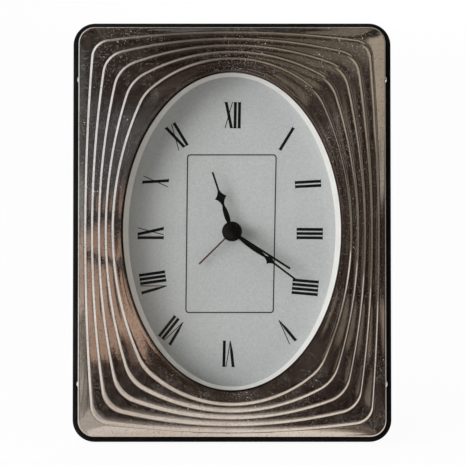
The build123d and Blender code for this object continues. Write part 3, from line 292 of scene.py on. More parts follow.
def lip_rows():
    """Top of the sheet and the round lip of its opening."""
    rows = []
    outer = ridge_loop(RIDGES - 1, RISER_RUN / 2)
    lip = oval_loop(LIP_R - LIP_OVER)
    for share in (0.2, 0.4, 0.6, 0.8):
        dish = LIP_DISH * 4 * share * (1 - share)
        rows.append((mixed(outer, lip, share), TOP_Z - dish, 1, 0))
    # Painted shade: the lip's curl turns black past its top and stays black to its edge, for the dark line of
    # shade along the opening
    for count in range(EDGE_STEPS + 1):
        angle = math.pi / 2 * count / EDGE_STEPS
        loop = oval_loop(LIP_R * (1 - math.sin(angle)) - LIP_OVER)
        tarnish_and_shade = min(1.0, count / FADE_STEPS)
        rows.append((loop, TOP_Z - LIP_R * (1 - math.cos(angle)), LIP_WAVE_SHARE, tarnish_and_shade))
    rows.append((oval_loop(-LIP_OVER), LIP_Z, 0, 1))
    return rows


def underside_rows():
    """Underside of the sheet, from the lip back to the skirt, painted black as shade."""
    rows = []
    edge_z = RIM_Z - BORDER_DROP
    rows.append((oval_loop(SHEET_T), LIP_Z, 0, 1))
    rows.append((oval_loop(LIP_R + SHEET_T), TOP_Z - SHEET_T - UNDERSIDE_GAP, 0, 1))
    for number in reversed(range(RIDGES)):
        top_z = RIM_Z + (number + 1) * RIDGE_RISE - SHEET_T - UNDERSIDE_GAP
        rows.append((ridge_loop(number, RISER_RUN / 2 + SHEET_T), top_z, 0, 1))
        rows.append((ridge_loop(number, SHEET_T - RISER_RUN / 2), top_z - RIDGE_RISE, 0, 1))
    rows.append((rim_loop(FRAME_EDGE_R), edge_z - SHEET_T - UNDERSIDE_GAP, 0, 1))
    rows.append((rim_loop(SHEET_T), edge_z - FRAME_EDGE_R, 0, 1))
    rows.append((rim_loop(SHEET_T), SKIRT_Z, 0, 1))
    return rows


def metal_frame_mesh():
    """Stamped sheet, closed round its section, with its tarnish and painted shade as an attribute of its
    points.
    """
    rows = face_rows() + lip_rows() + underside_rows()
    verts = []
    stain_and_shade = []
    for loop, z, wave, tarnish_and_shade in rows:
        for x, y in loop:
            verts.append(place(x, y, z + wave * (sheet_wave(x, y) - WAVE_SINK)))
            # Painted shade: the dark of the creases is least on the lit left side and grows towards the right
            shade_to_right = FOOT_LEFT_SHADE_SHARE + (1 - FOOT_LEFT_SHADE_SHARE) * (x / FRAME_W + 0.5) if wave == 1 else 1
            stain_and_shade.append(tarnish_and_shade * shade_to_right)
    around = len(rows[0][0])
    faces = []
    for row in range(len(rows)):
        here = row * around
        there = (row + 1) % len(rows) * around
        for count in range(around):
            step = (count + 1) % around
            faces.append((here + count, here + step, there + step, there + count))
    obj = mesh_object("silver_frame", verts, faces)
    obj.data.set_sharp_from_angle(angle=SHARP_ANGLE)
    obj.data.attributes.new("tarnish_and_shade", "FLOAT", "POINT").data.foreach_set("value", stain_and_shade)
    return obj


# Materials


class Paint:
    """Node material with short calls for the nodes that repeat."""

    def __init__(self, name):
        self.material = bpy.data.materials.new(name)
        self.material.use_nodes = True
        self.nodes = self.material.node_tree.nodes
        self.links = self.material.node_tree.links
        self.shader = self.nodes["Principled BSDF"]
        self.coords = self.nodes.new("ShaderNodeTexCoord")

    def put(self, source, socket):
        self.links.new(source, socket)

    def set(self, **values):
        for key, value in values.items():
            self.shader.inputs[key.replace("_", " ").title()].default_value = value

    def noise(self, scale, detail, rough, stretch=(1, 1, 1)):
        mapping = self.nodes.new("ShaderNodeMapping")
        mapping.inputs["Scale"].default_value = stretch
        self.put(self.coords.outputs["Object"], mapping.inputs["Vector"])
        node = self.nodes.new("ShaderNodeTexNoise")
        node.inputs["Scale"].default_value = scale
        node.inputs["Detail"].default_value = detail
        node.inputs["Roughness"].default_value = rough
        self.put(mapping.outputs["Vector"], node.inputs["Vector"])
        return node.outputs["Fac"]

    def dots(self, scale, size, rare):
        """Scattered dots, each as strong as its own chance above the given rarity."""
        node = self.nodes.new("ShaderNodeTexVoronoi")
        node.inputs["Scale"].default_value = scale
        self.put(self.coords.outputs["Object"], node.inputs["Vector"])
        chance = self.nodes.new("ShaderNodeSeparateColor")
        self.put(node.outputs["Color"], chance.inputs["Color"])
        near = self.ramp(node.outputs["Distance"], 0.5 * size, size, 1.0, 0.0)
        return self.math("MULTIPLY", near, self.ramp(chance.outputs["Red"], rare, 1.0))

    def ramp(self, source, low, high, dark=0.0, light=1.0):
        node = self.nodes.new("ShaderNodeMapRange")
        node.interpolation_type = "SMOOTHSTEP"
        for key, value in zip(("From Min", "From Max", "To Min", "To Max"), (low, high, dark, light)):
            node.inputs[key].default_value = value
        self.put(source, node.inputs["Value"])
        return node.outputs["Result"]

    def math(self, operation, a, b):
        node = self.nodes.new("ShaderNodeMath")
        node.operation = operation
        for socket, value in zip(node.inputs, (a, b)):
            if isinstance(value, float):
                socket.default_value = value
            else:
                self.put(value, socket)
        return node.outputs[0]

    def colour(self, factor, first, second):
        node = self.nodes.new("ShaderNodeMix")
        node.data_type = "RGBA"
        self.put(factor, node.inputs["Factor"])
        for socket, value in zip([s for s in node.inputs if s.type == "RGBA"], (first, second)):
            if isinstance(value, tuple):
                socket.default_value = (*value, 1.0)
            else:
                self.put(value, socket)
        return [s for s in node.outputs if s.type == "RGBA"][0]

    def bump(self, height, distance, strength):
        node = self.nodes.new("ShaderNodeBump")
        node.inputs["Strength"].default_value = strength
        node.inputs["Distance"].default_value = distance
        self.put(height, node.inputs["Height"])
        return node.outputs["Normal"]

    def feed(self, key, source):
        self.put(source, self.shader.inputs[key])


def silver_material():
    """Silver plate with a cloudy tone, dull specks and dust, dark pits, and black from the points' attribute:
    tarnish in the creases, and painted shade in the creases, the lip's curl, the underside and the hem.
    """
    paint = Paint("tarnished_silver")
    cloud = paint.noise(28.0, 4.0, 0.55)
    tone = paint.colour(paint.ramp(cloud, 0.35, 0.7), (0.62, 0.57, 0.53), (0.80, 0.77, 0.73))
    patches = paint.ramp(paint.noise(60.0, 3.0, 0.6), 0.35, 0.66, 0.30, 1.0)
    specks = paint.math("MULTIPLY", paint.dots(2400.0, 0.42, 0.15), 0.40)
    dust = paint.math("MULTIPLY", paint.dots(800.0, 0.22, 0.76), 0.50)
    haze = paint.ramp(paint.noise(150.0, 6.0, 0.7), 0.48, 0.78, 0.0, 0.06)
    dull = paint.math("ADD", paint.math("MULTIPLY", paint.math("ADD", specks, dust), patches), haze)
    pits = paint.math("MULTIPLY", paint.dots(2100.0, 0.48, 0.30), 0.60)
    tone = paint.colour(pits, tone, (0.14, 0.11, 0.09))
    stain_and_shade = paint.nodes.new("ShaderNodeAttribute")
    stain_and_shade.attribute_name = "tarnish_and_shade"
    dusty = paint.colour(dull, tone, (0.62, 0.60, 0.57))
    # Black where the points' attribute says: tarnish and painted shade
    paint.feed("Base Color", paint.colour(stain_and_shade.outputs["Fac"], dusty, (0.045, 0.032, 0.024)))
    paint.feed("Metallic", paint.math("SUBTRACT", 1.0, dull))
    rough = paint.ramp(paint.noise(200.0, 4.0, 0.6), 0.3, 0.75, 0.02, 0.06)
    paint.feed("Roughness", paint.math("ADD", rough, paint.math("MULTIPLY", dull, 0.6)))
    paint.feed("Normal", paint.bump(paint.noise(900.0, 3.0, 0.6), 0.00001, 0.25))
    return paint.material


def velvet_material():
    """Black velvet with a fine pile and brushed patches."""
    paint = Paint("black_velvet")
    pile = paint.noise(2600.0, 4.0, 0.7)
    brushed = paint.noise(55.0, 4.0, 0.6)
    both = paint.math("ADD", paint.math("MULTIPLY", pile, 0.55), paint.math("MULTIPLY", brushed, 0.45))
    nap = paint.ramp(both, 0.35, 0.7)
    paint.feed("Base Color", paint.colour(nap, (0.002, 0.002, 0.002), (0.012, 0.0115, 0.011)))
    paint.set(roughness=1.0, sheen_weight=0.12, sheen_roughness=0.4, sheen_tint=(0.5, 0.5, 0.5, 1.0))
    paint.shader.inputs["Specular IOR Level"].default_value = 0.1
    paint.feed("Normal", paint.bump(pile, 0.00025, 0.8))
    return paint.material


def wood_material():
    """Raw fibreboard with short fibres."""
    paint = Paint("raw_fibreboard")
    fibre = paint.noise(420.0, 6.0, 0.7, (1, 1, 3))
    paint.feed("Base Color", paint.colour(fibre, (0.30, 0.21, 0.13), (0.50, 0.38, 0.25)))
    paint.set(roughness=0.85)
    paint.feed("Normal", paint.bump(fibre, 0.0001, 0.5))
    return paint.material


def glass_material():
    """Clear lens with a faint mirror on its outward skins."""
    paint = Paint("clear_crystal")
    clear = paint.nodes.new("ShaderNodeBsdfTransparent")
    gloss = paint.nodes.new("ShaderNodeBsdfGlossy")
    gloss.inputs["Roughness"].default_value = 0.02
    fresnel = paint.nodes.new("ShaderNodeFresnel")
    fresnel.inputs["IOR"].default_value = 1.46
    mix = paint.nodes.new("ShaderNodeMixShader")
    skin = paint.nodes.new("ShaderNodeNewGeometry")
    outside = paint.math("SUBTRACT", 1.0, skin.outputs["Backfacing"])
    paint.put(paint.math("MULTIPLY", fresnel.outputs[0], outside), mix.inputs[0])
    paint.put(clear.outputs[0], mix.inputs[1])
    paint.put(gloss.outputs[0], mix.inputs[2])
    paint.put(mix.outputs[0], paint.nodes["Material Output"].inputs["Surface"])
    paint.nodes.remove(paint.shader)
    return paint.material


def plastic_material(name, colour, spread, rough, grain, depth, gloss=0.5):
    """Moulded plastic: a faint tone drift and a fine moulded grain."""
    paint = Paint(name)
    drift = paint.noise(70.0, 3.0, 0.5)
    darker = tuple(value * (1 - spread) for value in colour)
    lighter = tuple(value * (1 + spread) for value in colour)
    paint.feed("Base Color", paint.colour(drift, darker, lighter))
    paint.feed("Roughness", paint.ramp(paint.noise(300.0, 3.0, 0.6), 0.3, 0.7, rough - 0.06, rough + 0.08))
    paint.shader.inputs["Specular IOR Level"].default_value = gloss
    paint.feed("Normal", paint.bump(paint.noise(grain, 2.0, 0.5), depth, 0.5))
    return paint.material


def metal_material(name, dark, light, rough, brush=(1, 1, 1)):
    """Bare metal with tarnish and fine scratches."""
    paint = Paint(name)
    paint.feed("Base Color", paint.colour(paint.ramp(paint.noise(110.0, 4.0, 0.6), 0.3, 0.7), dark, light))
    paint.set(metallic=1.0)
    scratches = paint.noise(500.0, 4.0, 0.6, brush)
    paint.feed("Roughness", paint.ramp(scratches, 0.3, 0.7, rough - 0.08, rough + 0.1))
    paint.feed("Normal", paint.bump(scratches, 0.00002, 0.4))
    return paint.material


def dial_material():
    """Pale grey paint with a fine grain and a slow drift of its tone."""
    paint = Paint("dial_paint")
    grain = paint.noise(1400.0, 2.0, 0.6)
    drift = paint.noise(24.0, 3.0, 0.5)
    both = paint.math("ADD", paint.math("MULTIPLY", grain, 0.6), paint.math("MULTIPLY", drift, 0.4))
    tone = paint.ramp(both, 0.3, 0.7)
    paint.feed("Base Color", paint.colour(tone, (0.425, 0.445, 0.442), (0.525, 0.545, 0.542)))
    paint.set(roughness=0.62)
    paint.shader.inputs["Specular IOR Level"].default_value = 0.3
    paint.feed("Normal", paint.bump(grain, 0.00002, 0.4))
    return paint.material


materials = {
    "silver_plate": silver_material(),
    "velvet_board": velvet_material(),
    "core_wood": wood_material(),
    "crystal_clear": glass_material(),
    "ring_white": plastic_material("ring_plastic", (0.62, 0.61, 0.59), 0.04, 0.38, 700.0, 0.00002),
    "dial_grey": dial_material(),
    "hand_black": plastic_material("hand_paint", (0.004, 0.004, 0.004), 0.3, 0.42, 900.0, 0.00001, 0.1),
    "alarm_red": plastic_material("alarm_paint", (0.075, 0.032, 0.026), 0.2, 0.42, 900.0, 0.00001, 0.3),
    "cap_black": plastic_material("cap_plastic", (0.004, 0.004, 0.004), 0.3, 0.18, 900.0, 0.00001, 0.12),
    "nail_silver": metal_material("nail_metal", (0.55, 0.54, 0.52), (0.85, 0.84, 0.82), 0.25),
    "brass_hinge": metal_material("hinge_brass", (0.46, 0.32, 0.12), (0.72, 0.55, 0.26), 0.32, (1, 4, 1)),
    "steel_screw": metal_material("screw_steel", (0.42, 0.41, 0.40), (0.64, 0.63, 0.61), 0.35),
    "case_black": plastic_material("case_plastic", (0.020, 0.020, 0.021), 0.25, 0.55, 2200.0, 0.00008),
    "knob_plastic": plastic_material("knob_plastic", (0.036, 0.036, 0.037), 0.25, 0.48, 1600.0, 0.00005),
    "wheel_white": plastic_material("wheel_acetal", (0.72, 0.71, 0.66), 0.04, 0.4, 900.0, 0.00002),
    "plate_plastic": plastic_material("plate_plastic", (0.30, 0.31, 0.32), 0.1, 0.5, 900.0, 0.00002),
    "contact_metal": metal_material("contact_nickel", (0.50, 0.48, 0.44), (0.70, 0.68, 0.64), 0.3, (1, 1, 6)),
    "battery_sleeve": plastic_material("battery_sleeve", (0.05, 0.06, 0.08), 0.2, 0.32, 300.0, 0.00002),
    "board_green": plastic_material("board_laminate", (0.03, 0.16, 0.07), 0.15, 0.45, 900.0, 0.00002),
    "can_steel": metal_material("can_steel", (0.48, 0.48, 0.46), (0.66, 0.66, 0.64), 0.28),
    "coil_copper": metal_material("coil_copper", (0.42, 0.17, 0.07), (0.62, 0.30, 0.14), 0.35, (8, 1, 1)),
    "magnet_dark": metal_material("magnet_ferrite", (0.05, 0.05, 0.055), (0.09, 0.09, 0.095), 0.5),
}
for part in frame["record"]["subparts"]:
    obj = frame["nodes"][part["node"]]
    obj.data.materials.clear()
    obj.data.materials.append(materials[part["material_slot"]])

silver_frame = metal_frame_mesh()
silver_frame.data.materials.append(materials["silver_plate"])
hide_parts("metal_frame")
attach(silver_frame, "clock_body")

# Camera, along the face's normal and a little below it, at a distance in metres

VIEW_TILT = math.radians(1.7)
VIEW_DISTANCE = 0.700
SENSOR_W = 36.0
PIXELS = 465
MM_PER_PIXEL = 0.3774
FOCUS = place(0.19, -0.17, 3.0)
view_axis = TO_VIEWER * math.cos(VIEW_TILT) - UP_FACE * math.sin(VIEW_TILT)
view_up = UP_FACE * math.cos(VIEW_TILT) + TO_VIEWER * math.sin(VIEW_TILT)
camera = bpy.data.objects.new("camera", bpy.data.cameras.new("camera"))
camera.data.sensor_width = SENSOR_W
camera.data.lens = SENSOR_W * VIEW_DISTANCE / (PIXELS * MM_PER_PIXEL * MM)
camera.matrix_world = Matrix((
    (1, view_up.x, view_axis.x, 0),
    (0, view_up.y, view_axis.y, 0),
    (0, view_up.z, view_axis.z, 0),
    (0, 0, 0, 1),
))
camera.location = FOCUS + view_axis * VIEW_DISTANCE
bpy.context.scene.collection.objects.link(camera)
bpy.context.scene.camera = camera


def on_dial(column, row):
    """Point of the dial, in the clock's axes, that shows at a pixel of the frame."""
    across = (column - PIXELS / 2) * MM_PER_PIXEL * MM / VIEW_DISTANCE
    down = (row - PIXELS / 2) * MM_PER_PIXEL * MM / VIEW_DISTANCE
    ray = Vector((across, 0, 0)) - view_up * down - view_axis
    start = camera.location - CENTRE
    depth = (DIAL_Z * MM - start.dot(TO_VIEWER)) / ray.dot(TO_VIEWER)
    hit = start + ray * depth
    return hit.x / MM, hit.dot(UP_FACE) / MM


# Print on the dial: Roman numerals and a thin rounded rectangle, in pixels of the frame

NUMERAL_H = 26.2
THICK = 2.9
HAIR = 0.85
SERIF_OUT = 0.45
SERIF_RISE = 1.1
X_LEAN = math.radians(12.5)
X_HAIR_LEAN = math.radians(15.0)
X_THICK = THICK * 1.03
V_LEAN = math.radians(7.6)
V_HAIR_LEAN_SHARE = 1.05
V_FOOT_SHIFT = 0.3
V_POINT = 0.5
V_BELLY_SHARE = 0.42
WIDTHS = {"I": 4.2, "X": 8.6, "V": 8.2}
BOX_CORNERS = ((187.6, 154.9), (276.1, 154.9), (273.3, 312.5), (185.9, 312.5))
BOX_R = 2.8
BOX_LINE = 1.25
BOX_STEPS = 6

# Each word with the column and row of its middle and its turn in degrees

NUMERALS = (
    ("XII", 233.0, 115.2, 1.0),
    ("I", 286.7, 138.9, 31.4),
    ("II", 308.0, 184.0, 87.0),
    ("III", 309.7, 233.6, 90.5),
    ("IIII", 305.2, 287.3, 95.0),
    ("V", 286.2, 331.2, 148.0),
    ("VI", 228.2, 353.8, 181.5),
    ("VII", 172.0, 330.0, 218.5),
    ("VIII", 153.2, 281.8, 262.0),
    ("IX", 150.7, 233.4, 270.0),
    ("X", 155.6, 181.4, 279.0),
    ("XI", 177.0, 136.3, 329.0),
)


def bar(u0, v0, u1, v1, width0, width1):
    """Stroke between two points, with its width at each end measured across."""
    return [(u0 - width0 / 2, v0), (u0 + width0 / 2, v0), (u1 + width1 / 2, v1), (u1 - width1 / 2, v1)]


def serifs(u, v, inward):
    """Small flared foot of a thick stroke."""
    half = THICK / 2
    inner = v + inward * SERIF_RISE
    return [(u - half - SERIF_OUT, v), (u + half + SERIF_OUT, v), (u + half, inner), (u - half, inner)]


def glyph(letter, middle):
    """Strokes of one letter, upright, about its middle."""
    half = NUMERAL_H / 2
    if letter == "I":
        return [bar(middle, -half, middle, half, THICK, THICK),
                serifs(middle, -half, 1), serifs(middle, half, -1)]
    if letter == "X":
        lean = half * math.tan(X_LEAN)
        thin = half * math.tan(X_HAIR_LEAN)
        return [bar(middle + lean, -half, middle - lean, half, X_THICK, X_THICK),
                serifs(middle + lean, -half, 1), serifs(middle - lean, half, -1),
                bar(middle - thin, -half, middle + thin, half, HAIR, HAIR)]
    lean = NUMERAL_H * math.tan(V_LEAN)
    foot = middle + V_FOOT_SHIFT
    belly = foot - lean * V_BELLY_SHARE
    belly_v = -half + NUMERAL_H * V_BELLY_SHARE
    return [bar(foot, -half, belly, belly_v, V_POINT, THICK),
            bar(belly, belly_v, foot - lean, half, THICK, THICK),
            serifs(foot - lean, half, -1),
            bar(foot, -half, foot + lean * V_HAIR_LEAN_SHARE, half, HAIR, HAIR)]


def print_mesh():
    """Numerals as thin closed prisms of ink on the dial."""
    verts = []
    faces = []

    def add(points):
        base = len(verts)
        area = sum(a[0] * b[1] - b[0] * a[1] for a, b in zip(points, points[1:] + points[:1]))
        if area < 0:
            points = points[::-1]
        count = len(points)
        for depth in (0.0, PRINT_T):
            verts.extend(place(x, y, DIAL_Z + depth) for x, y in points)
        faces.append(tuple(range(base + count, base + 2 * count)))
        faces.append(tuple(reversed(range(base, base + count))))
        for index in range(count):
            after = (index + 1) % count
            faces.append((base + index, base + after, base + count + after, base + count + index))

    for word, column, row, turn in NUMERALS:
        total = sum(WIDTHS[letter] for letter in word)
        at = -total / 2
        angle = math.radians(turn)
        for letter in word:
            for stroke in glyph(letter, at + WIDTHS[letter] / 2):
                turned = []
                for u, v in stroke:
                    right = u * math.cos(angle) + v * math.sin(angle)
                    up = -u * math.sin(angle) + v * math.cos(angle)
                    turned.append(on_dial(column + right, row - up))
                add(turned)
            at += WIDTHS[letter]
    return verts, faces


def box_line():
    """Thin rounded rectangle round the middle of the dial, as one closed band."""
    outer = []
    inner = []
    for index, (column, row) in enumerate(BOX_CORNERS):
        sx = 1 if index in (0, 3) else -1
        sy = 1 if index in (0, 1) else -1
        centre = (column + sx * BOX_R, row + sy * BOX_R)
        start = math.radians((180, 270, 0, 90)[index])
        for count in range(BOX_STEPS + 1):
            angle = start + math.pi / 2 * count / BOX_STEPS
            for loop, reach in ((outer, BOX_R + BOX_LINE / 2), (inner, BOX_R - BOX_LINE / 2)):
                loop.append(on_dial(centre[0] + reach * math.cos(angle), centre[1] + reach * math.sin(angle)))
    count = len(outer)
    verts = []
    rings = ((outer, 0), (outer, PRINT_T), (inner, PRINT_T), (inner, 0))
    for loop, depth in rings:
        verts += [place(x, y, DIAL_Z + depth) for x, y in loop]
    faces = []
    for ring in range(len(rings)):
        here = ring * count
        there = (ring + 1) % len(rings) * count
        for index in range(count):
            step = (index + 1) % count
            faces.append((here + index, there + index, there + step, here + step))
    return verts, faces


ink = plastic_material("dial_ink", (0.004, 0.004, 0.004), 0.3, 0.55, 1500.0, 0.00001, 0.1)
line_ink = plastic_material("dial_line_ink", (0.030, 0.030, 0.030), 0.3, 0.55, 1500.0, 0.00001, 0.15)
for name, (verts, faces), finish in (
        ("dial_numerals", print_mesh(), ink), ("dial_rectangle", box_line(), line_ink)):
    obj = mesh_object(name, verts, faces, smooth=False)
    obj.data.materials.append(finish)
    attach(obj, "clock_body")

# Floor, reflected room and light, in metres

X_AXIS = Vector((1, 0, 0))
Y_AXIS = Vector((0, 1, 0))
Z_AXIS = Vector((0, 0, 1))
FLOOR_W = 40.0
FLOOR_GLOW = 0.95
WALL_Y = -1.3
RIGHT_X = 1.1
LEFT_X = -1.2
CEILING_Z = 1.5
TABLE_Z = 0.002


def plane(name, centre, across, up, width, height):
    """Flat stage card about a point."""
    corners = ((-1, -1), (1, -1), (1, 1), (-1, 1))
    verts = [centre + across * (sx * width / 2) + up * (sy * height / 2) for sx, sy in corners]
    obj = mesh_object(name, verts, [(0, 1, 2, 3)], smooth=False)
    return obj


def seen_directly(nodes, links):
    """1 for what the camera sees, also by way of metal or glass, and 0 for the light on other things."""
    path = nodes.new("ShaderNodeLightPath")
    seen = path.outputs["Is Camera Ray"]
    for kind in ("Is Glossy Ray", "Is Transmission Ray"):
        either = nodes.new("ShaderNodeMath")
        either.operation = "MAXIMUM"
        links.new(seen, either.inputs[0])
        links.new(path.outputs[kind], either.inputs[1])
        seen = either.outputs[0]
    return seen


# Most of the floor's white is its own, and the rest of it takes the clock's shadow

floor = plane("floor", Vector((0, 0, 0)), X_AXIS, Y_AXIS, FLOOR_W, FLOOR_W)
floor_paint = Paint("floor_white")
floor_paint.set(base_color=(0.90, 0.90, 0.90, 1.0), roughness=0.9)
glow = floor_paint.nodes.new("ShaderNodeEmission")
glow.inputs["Color"].default_value = (1, 1, 1, 1)
glow.inputs["Strength"].default_value = 1.0
floor_seen = seen_directly(floor_paint.nodes, floor_paint.links)
lit = floor_paint.nodes.new("ShaderNodeMixShader")
floor_paint.put(floor_paint.math("MULTIPLY", floor_seen, FLOOR_GLOW), lit.inputs[0])
floor_paint.put(floor_paint.shader.outputs[0], lit.inputs[1])
floor_paint.put(glow.outputs[0], lit.inputs[2])
floor_paint.put(lit.outputs[0], floor_paint.nodes["Material Output"].inputs["Surface"])
floor.data.materials.append(floor_paint.material)


def card(name, centre, across, up, width, height):
    """Card of the room that only the metal and the glass reflect: its paint and its colour's socket."""
    obj = plane(name, centre, across, up, width, height)
    obj.visible_camera = False
    obj.visible_diffuse = False
    obj.visible_shadow = False
    obj.visible_transmission = False
    paint = Paint(name + "_paint")
    paint.nodes.remove(paint.shader)
    emit = paint.nodes.new("ShaderNodeEmission")
    emit.inputs["Strength"].default_value = 1.0
    paint.put(emit.outputs[0], paint.nodes["Material Output"].inputs["Surface"])
    obj.data.materials.append(paint.material)
    return paint, emit.inputs["Color"]


def blend(paint, axis, start, end, first, second):
    """Soft change of colour along one axis."""
    split = paint.nodes.new("ShaderNodeSeparateXYZ")
    paint.put(paint.coords.outputs["Object"], split.inputs[0])
    return paint.colour(paint.ramp(split.outputs[axis], start, end), first, second)


def blots(paint, socket, base, shapes):
    """Ragged patches, one over another: centre, half sizes, colour, softness and raggedness."""
    ragged = paint.math("SUBTRACT", paint.noise(16.0, 4.0, 0.6), 0.5)
    seen = base
    for centre, half_sizes, colour, soft, rough in shapes:
        mapping = paint.nodes.new("ShaderNodeMapping")
        mapping.vector_type = "TEXTURE"
        mapping.inputs["Location"].default_value = centre
        mapping.inputs["Scale"].default_value = half_sizes
        paint.put(paint.coords.outputs["Object"], mapping.inputs["Vector"])
        length = paint.nodes.new("ShaderNodeVectorMath")
        length.operation = "LENGTH"
        paint.put(mapping.outputs["Vector"], length.inputs[0])
        reach = paint.math("ADD", length.outputs["Value"], paint.math("MULTIPLY", ragged, rough))
        seen = paint.colour(paint.ramp(reach, 1 - soft, 1 + soft), colour, seen)
    paint.put(seen, socket)


# Things in the dim room before the clock: across, up, half width, half height, colour, softness, raggedness

FRONT_PATCHES = (
    (0.16, 0.665, 0.12, 0.065, (0.13, 0.112, 0.085), 0.2, 1.0),
    (0.085, 0.572, 0.035, 0.022, (0.17, 0.145, 0.11), 0.4, 1.0),
    (0.15, 0.52, 0.03, 0.04, (0.12, 0.10, 0.08), 0.4, 1.4),
    (0.40, 1.08, 0.45, 0.25, (0.17, 0.145, 0.11), 0.25, 0.6),
    (0.88, 0.62, 0.27, 0.17, (0.42, 0.38, 0.32), 0.3, 0.4),
    (0.90, 0.280, 0.25, 0.030, (0.34, 0.285, 0.235), 0.5, 0.6),
    (0.52, 0.70, 0.30, 0.22, (0.46, 0.40, 0.325), 0.12, 0.6),
    (0.33, 0.86, 0.15, 0.08, (0.030, 0.030, 0.022), 0.3, 1.0),
    (0.36, 0.36, 0.08, 0.06, (0.11, 0.09, 0.07), 0.4, 1.6),
    (0.17, 0.28, 0.05, 0.025, (0.19, 0.16, 0.125), 0.4, 1.4),
    (0.24, 0.21, 0.05, 0.025, (0.17, 0.14, 0.11), 0.4, 1.6),
    (-0.30, 0.480, 0.28, 0.07, (0.078, 0.080, 0.082), 0.5, 0.6),
    (-0.80, 0.58, 0.32, 0.15, (0.085, 0.083, 0.080), 0.5, 1.2),
    (-0.90, 0.445, 0.30, 0.040, (0.23, 0.225, 0.215), 0.4, 0.8),
    (-0.75, 0.235, 0.42, 0.085, (0.18, 0.155, 0.13), 0.35, 0.8),
    (-0.90, 0.352, 0.32, 0.060, (0.47, 0.36, 0.30), 0.25, 0.8),
    (-0.19, 0.432, 0.08, 0.017, (0.27, 0.180, 0.145), 0.4, 0.8),
    (-0.25, 0.406, 0.25, 0.011, (0.030, 0.028, 0.029), 0.4, 0.5),
    (-0.28, 0.382, 0.24, 0.0145, (0.42, 0.295, 0.23), 0.2, 0.5),
    (-0.25, 0.303, 0.24, 0.050, (0.46, 0.31, 0.235), 0.08, 0.6),
    (-0.17, 0.360, 0.09, 0.010, (0.09, 0.085, 0.088), 0.4, 0.8),
    (-0.165, 0.325, 0.022, 0.030, (0.045, 0.042, 0.042), 0.4, 1.2),
    (-0.22, -0.1, 0.40, 0.20, (0.68, 0.62, 0.56), 0.35, 0.4),
    (-0.80, 0.03, 0.50, 0.20, (0.76, 0.73, 0.69), 0.2, 0.4),
    (-0.30, 0.10, 0.14, 0.09, (0.55, 0.51, 0.47), 0.3, 0.4),
)
front, front_colour = card("room_front", Vector((-0.1, WALL_Y, 0.9)), X_AXIS, Z_AXIS, 2.4, 1.8)
gloom = front.ramp(front.noise(9.0, 4.0, 0.6), 0.35, 0.7)
wall = front.colour(gloom, (0.017, 0.010, 0.008), (0.058, 0.042, 0.034))
blots(front, front_colour, wall, [
    ((x, WALL_Y, z), (half_x, 1.0, half_z), colour, soft, rough)
    for x, z, half_x, half_z, colour, soft, rough in FRONT_PATCHES
])
right, right_colour = card("room_right", Vector((RIGHT_X, -0.3, 0.9)), Y_AXIS, Z_AXIS, 2.4, 1.8)
blots(right, right_colour, (0.03, 0.024, 0.02), (
    ((RIGHT_X, -0.53, 0.9), (1.0, 0.24, 1.2), (0.50, 0.45, 0.38), 0.3, 0.3),
    ((RIGHT_X, -0.5, 0.0), (1.0, 0.9, 0.35), (0.22, 0.185, 0.15), 0.3, 0.3),
))
_, left_colour = card("room_left", Vector((LEFT_X, -0.35, 0.8)), Y_AXIS, Z_AXIS, 2.3, 1.6)
left_colour.default_value = (0.91, 0.92, 0.94, 1.0)
top, top_colour = card("room_top", Vector((0.0, -0.3, CEILING_Z)), X_AXIS, Y_AXIS, 2.6, 2.4)
ceiling = blend(top, "X", -1.1, 0.25, (0.72, 0.70, 0.67), (0.012, 0.010, 0.009))
blots(top, top_colour, ceiling, (
    ((0.70, 0.25, CEILING_Z), (0.75, 0.55, 1.0), (0.36, 0.31, 0.235), 0.3, 0.2),
))
table, table_colour = card("room_table", Vector((0.0, -0.66, TABLE_Z)), X_AXIS, Y_AXIS, 2.4, 1.28)
table_top = blend(table, "X", -0.05, 0.07, (0.88, 0.83, 0.78), (0.36, 0.29, 0.23))
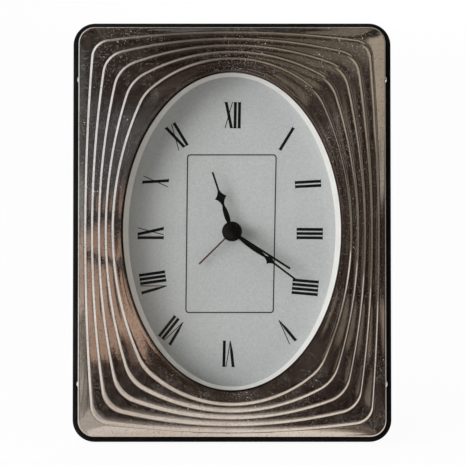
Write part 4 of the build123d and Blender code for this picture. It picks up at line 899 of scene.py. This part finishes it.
blots(table, table_colour, table_top, (
    ((0.30, -0.62, TABLE_Z), (0.284, 1.2, 1.0), (0.12, 0.085, 0.065), 0.03, 0.1),
    ((0.00, -0.02, TABLE_Z), (0.14, 0.035, 1.0), (0.80, 0.72, 0.64), 0.3, 0.1),
))


def lamp(name, side, out, up, width, height, watts, colour):
    """Soft box aimed at the clock; the metal sees the cards instead of it."""
    data = bpy.data.lights.new(name, "AREA")
    data.shape = "RECTANGLE"
    data.size = width
    data.size_y = height
    data.energy = watts
    data.color = colour
    obj = bpy.data.objects.new(name, data)
    obj.location = CENTRE + X_AXIS * side + TO_VIEWER * out + UP_FACE * up
    obj.rotation_mode = "QUATERNION"
    obj.rotation_quaternion = (obj.location - CENTRE).to_track_quat("Z", "Y")
    obj.visible_glossy = False
    obj.visible_camera = False
    bpy.context.scene.collection.objects.link(obj)


# Name, metres to the side, out from the face and up it, width, height, watts, colour

lamp("key", -1.00, 0.80, 0.20, 1.0, 0.6, 11.8, (1.0, 1.0, 1.0))
lamp("low_key", -1.20, 0.50, 0.05, 1.0, 0.6, 9.1, (1.0, 1.0, 1.0))
lamp("window", -0.35, 0.60, 1.15, 1.1, 1.1, 6.4, (0.97, 0.99, 1.0))
lamp("fill", 1.55, 0.50, 0.05, 1.2, 1.2, 9.6, (1.0, 0.88, 0.72))
lamp("back", 0.6, -2.4, 1.8, 2.0, 2.0, 40.0, (1.0, 1.0, 1.0))

# The camera sees white beyond the floor, and the clock gets a faint even light from there

world = bpy.data.worlds.new("studio")
bpy.context.scene.world = world
world.use_nodes = True
nodes = world.node_tree.nodes
links = world.node_tree.links
ambient = nodes["Background"]
ambient.inputs["Color"].default_value = (1.0, 0.98, 0.94, 1.0)
ambient.inputs["Strength"].default_value = 0.05
white = nodes.new("ShaderNodeBackground")
white.inputs["Color"].default_value = (1, 1, 1, 1)
white.inputs["Strength"].default_value = 1.0
choose = nodes.new("ShaderNodeMixShader")
links.new(seen_directly(nodes, links), choose.inputs[0])
links.new(ambient.outputs[0], choose.inputs[1])
links.new(white.outputs[0], choose.inputs[2])
links.new(choose.outputs[0], nodes["World Output"].inputs["Surface"])

bpy.context.scene.view_settings.view_transform = "Standard"
